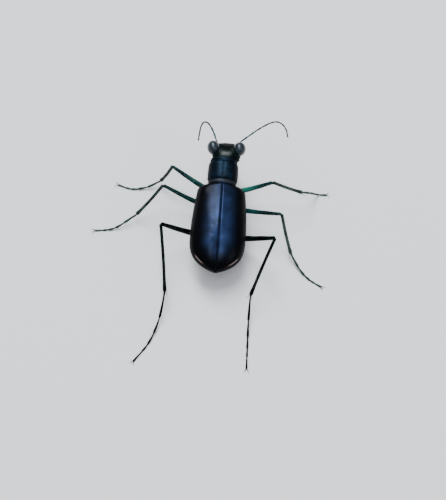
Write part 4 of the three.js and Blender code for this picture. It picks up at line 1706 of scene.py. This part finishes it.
@dataclass
class Studio:
    """The pale floor, the soft light and the camera."""

    azimuth: float = math.radians(4.4)
    elevation: float = math.radians(57.0)
    reach_mm: float = 200.0
    pixels_per_mm: float = 12.0
    frame: tuple[int, int] = (446, 500)
    sensor_mm: float = 36.0
    anchor: Vector = field(default_factory=lambda: Vector((0, 0, 1.1)))
    anchor_pixel: tuple[float, float] = (222.8, 182.5)
    clip: tuple[float, float] = (0.01, 5.0)
    floor_size: float = 0.6
    surround: tuple[float, float] = (0.25, 0.85)
    horizon: tuple[float, float] = (0.05, 0.75)

    def axes(self) -> tuple[Vector, Vector, Vector]:
        """Give the camera's right, up and backward directions."""
        a, e = self.azimuth, self.elevation
        right = Vector((math.cos(a), math.sin(a), 0))
        up = Vector((-math.sin(a) * math.sin(e), math.cos(a) * math.sin(e), math.cos(e)))
        return right, up, right.cross(up)

    def build_camera(self) -> None:
        """Place the camera so that the front of the wing cases' seam falls on its own pixel."""
        right, up, back = self.axes()
        shift_x = (self.anchor_pixel[0] - self.frame[0] / 2) / self.pixels_per_mm
        shift_y = (self.anchor_pixel[1] - self.frame[1] / 2) / self.pixels_per_mm
        spot = STANCE.lift @ self.anchor + back * self.reach_mm - right * shift_x + up * shift_y
        data = bpy.data.cameras.new("camera")
        data.sensor_width = self.sensor_mm
        data.lens = self.pixels_per_mm * self.reach_mm * self.sensor_mm / max(self.frame)
        data.clip_start, data.clip_end = self.clip
        camera = bpy.data.objects.new("camera", data)
        place = Matrix((right, up, back)).transposed().to_4x4()
        place.translation = FLOOR @ spot
        camera.matrix_world = place
        bpy.context.scene.collection.objects.link(camera)
        bpy.context.scene.camera = camera

    def build_floor(self) -> None:
        """Lay the floor."""
        mesh = bmesh.new()
        bmesh.ops.create_grid(mesh, x_segments=1, y_segments=1, size=self.floor_size)
        data = bpy.data.meshes.new("floor")
        mesh.to_mesh(data)
        mesh.free()
        floor = bpy.data.objects.new("floor", data)
        material = bpy.data.materials.new("studio_board")
        material.use_nodes = True
        board = material.node_tree.nodes["Principled BSDF"]
        board.inputs["Base Color"].default_value = linear("#d9d7d2")
        board.inputs["Roughness"].default_value = 0.8
        data.materials.append(material)
        bpy.context.scene.collection.objects.link(floor)

    def build_lights(self) -> None:
        """Hang a long soft panel ahead to the left, two small ones behind to the right and a pale surround."""
        panels = (
            ("key_panel", (-0.045, 0.115, 0.33), (0.1, 0.31), 2.1, "#f4f8ff"),
            ("back_panel", (0.015, -0.15, 0.3), (0.05, 0.12), 0.35, "#dfe8ff"),
            ("fill_panel", (0.3, -0.2, 0.22), (0.16, 0.16), 0.3, "#e8eeff"),
        )
        for name, spot, size, power, tint in panels:
            data = bpy.data.lights.new(name, "AREA")
            data.shape = "RECTANGLE"
            data.size, data.size_y = size
            data.energy = power
            data.color = linear(tint)[:3]
            lamp = bpy.data.objects.new(name, data)
            lamp.location = spot
            lamp.rotation_euler = Vector(spot).to_track_quat("Z", "Y").to_euler()
            bpy.context.scene.collection.objects.link(lamp)
        world = bpy.data.worlds.new("surround")
        world.use_nodes = True
        tree = world.node_tree
        sky = tree.nodes["Background"]
        way = add_node(tree, "ShaderNodeTexCoord").outputs["Generated"]
        rise = add_node(tree, "ShaderNodeSeparateXYZ", {}, {0: way}).outputs["Z"]
        (near, far), (low, high) = self.horizon, self.surround
        lit = {"Value": rise, "From Min": near, "From Max": far, "To Min": low, "To Max": high}
        strength = add_node(tree, "ShaderNodeMapRange", SMOOTH_STEP, lit)
        sky.inputs["Color"].default_value = linear("#dfe6f2")
        tree.links.new(strength.outputs[0], sky.inputs["Strength"])
        bpy.context.scene.world = world

    def build(self) -> None:
        """Make the whole studio."""
        self.build_camera()
        self.build_floor()
        self.build_lights()


def main() -> None:
    """Load the frame, build every sub-assembly over it and log each piece's face count."""
    logging.basicConfig(level=logging.INFO, format="%(message)s")
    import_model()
    Studio().build()
    white = Coat("white_setae", WHITE_HAIR)
    dark = Coat("dark_bristles", DARK_HAIR)
    down = Coat("feeler_down_hairs", FELT)
    shield, head, underside = NeckShield(), Head(), Underside()
    for part in (WingCases(), shield, head, underside):
        part.build()
    shield.grow(white)
    underside.grow(white)
    head.grow(dark)
    for feeler in FEELERS:
        feeler.build(down)
    Legs().build(white, dark)
    for coat in (white, dark, down):
        coat.build()


if __name__ == "__main__":
    main()
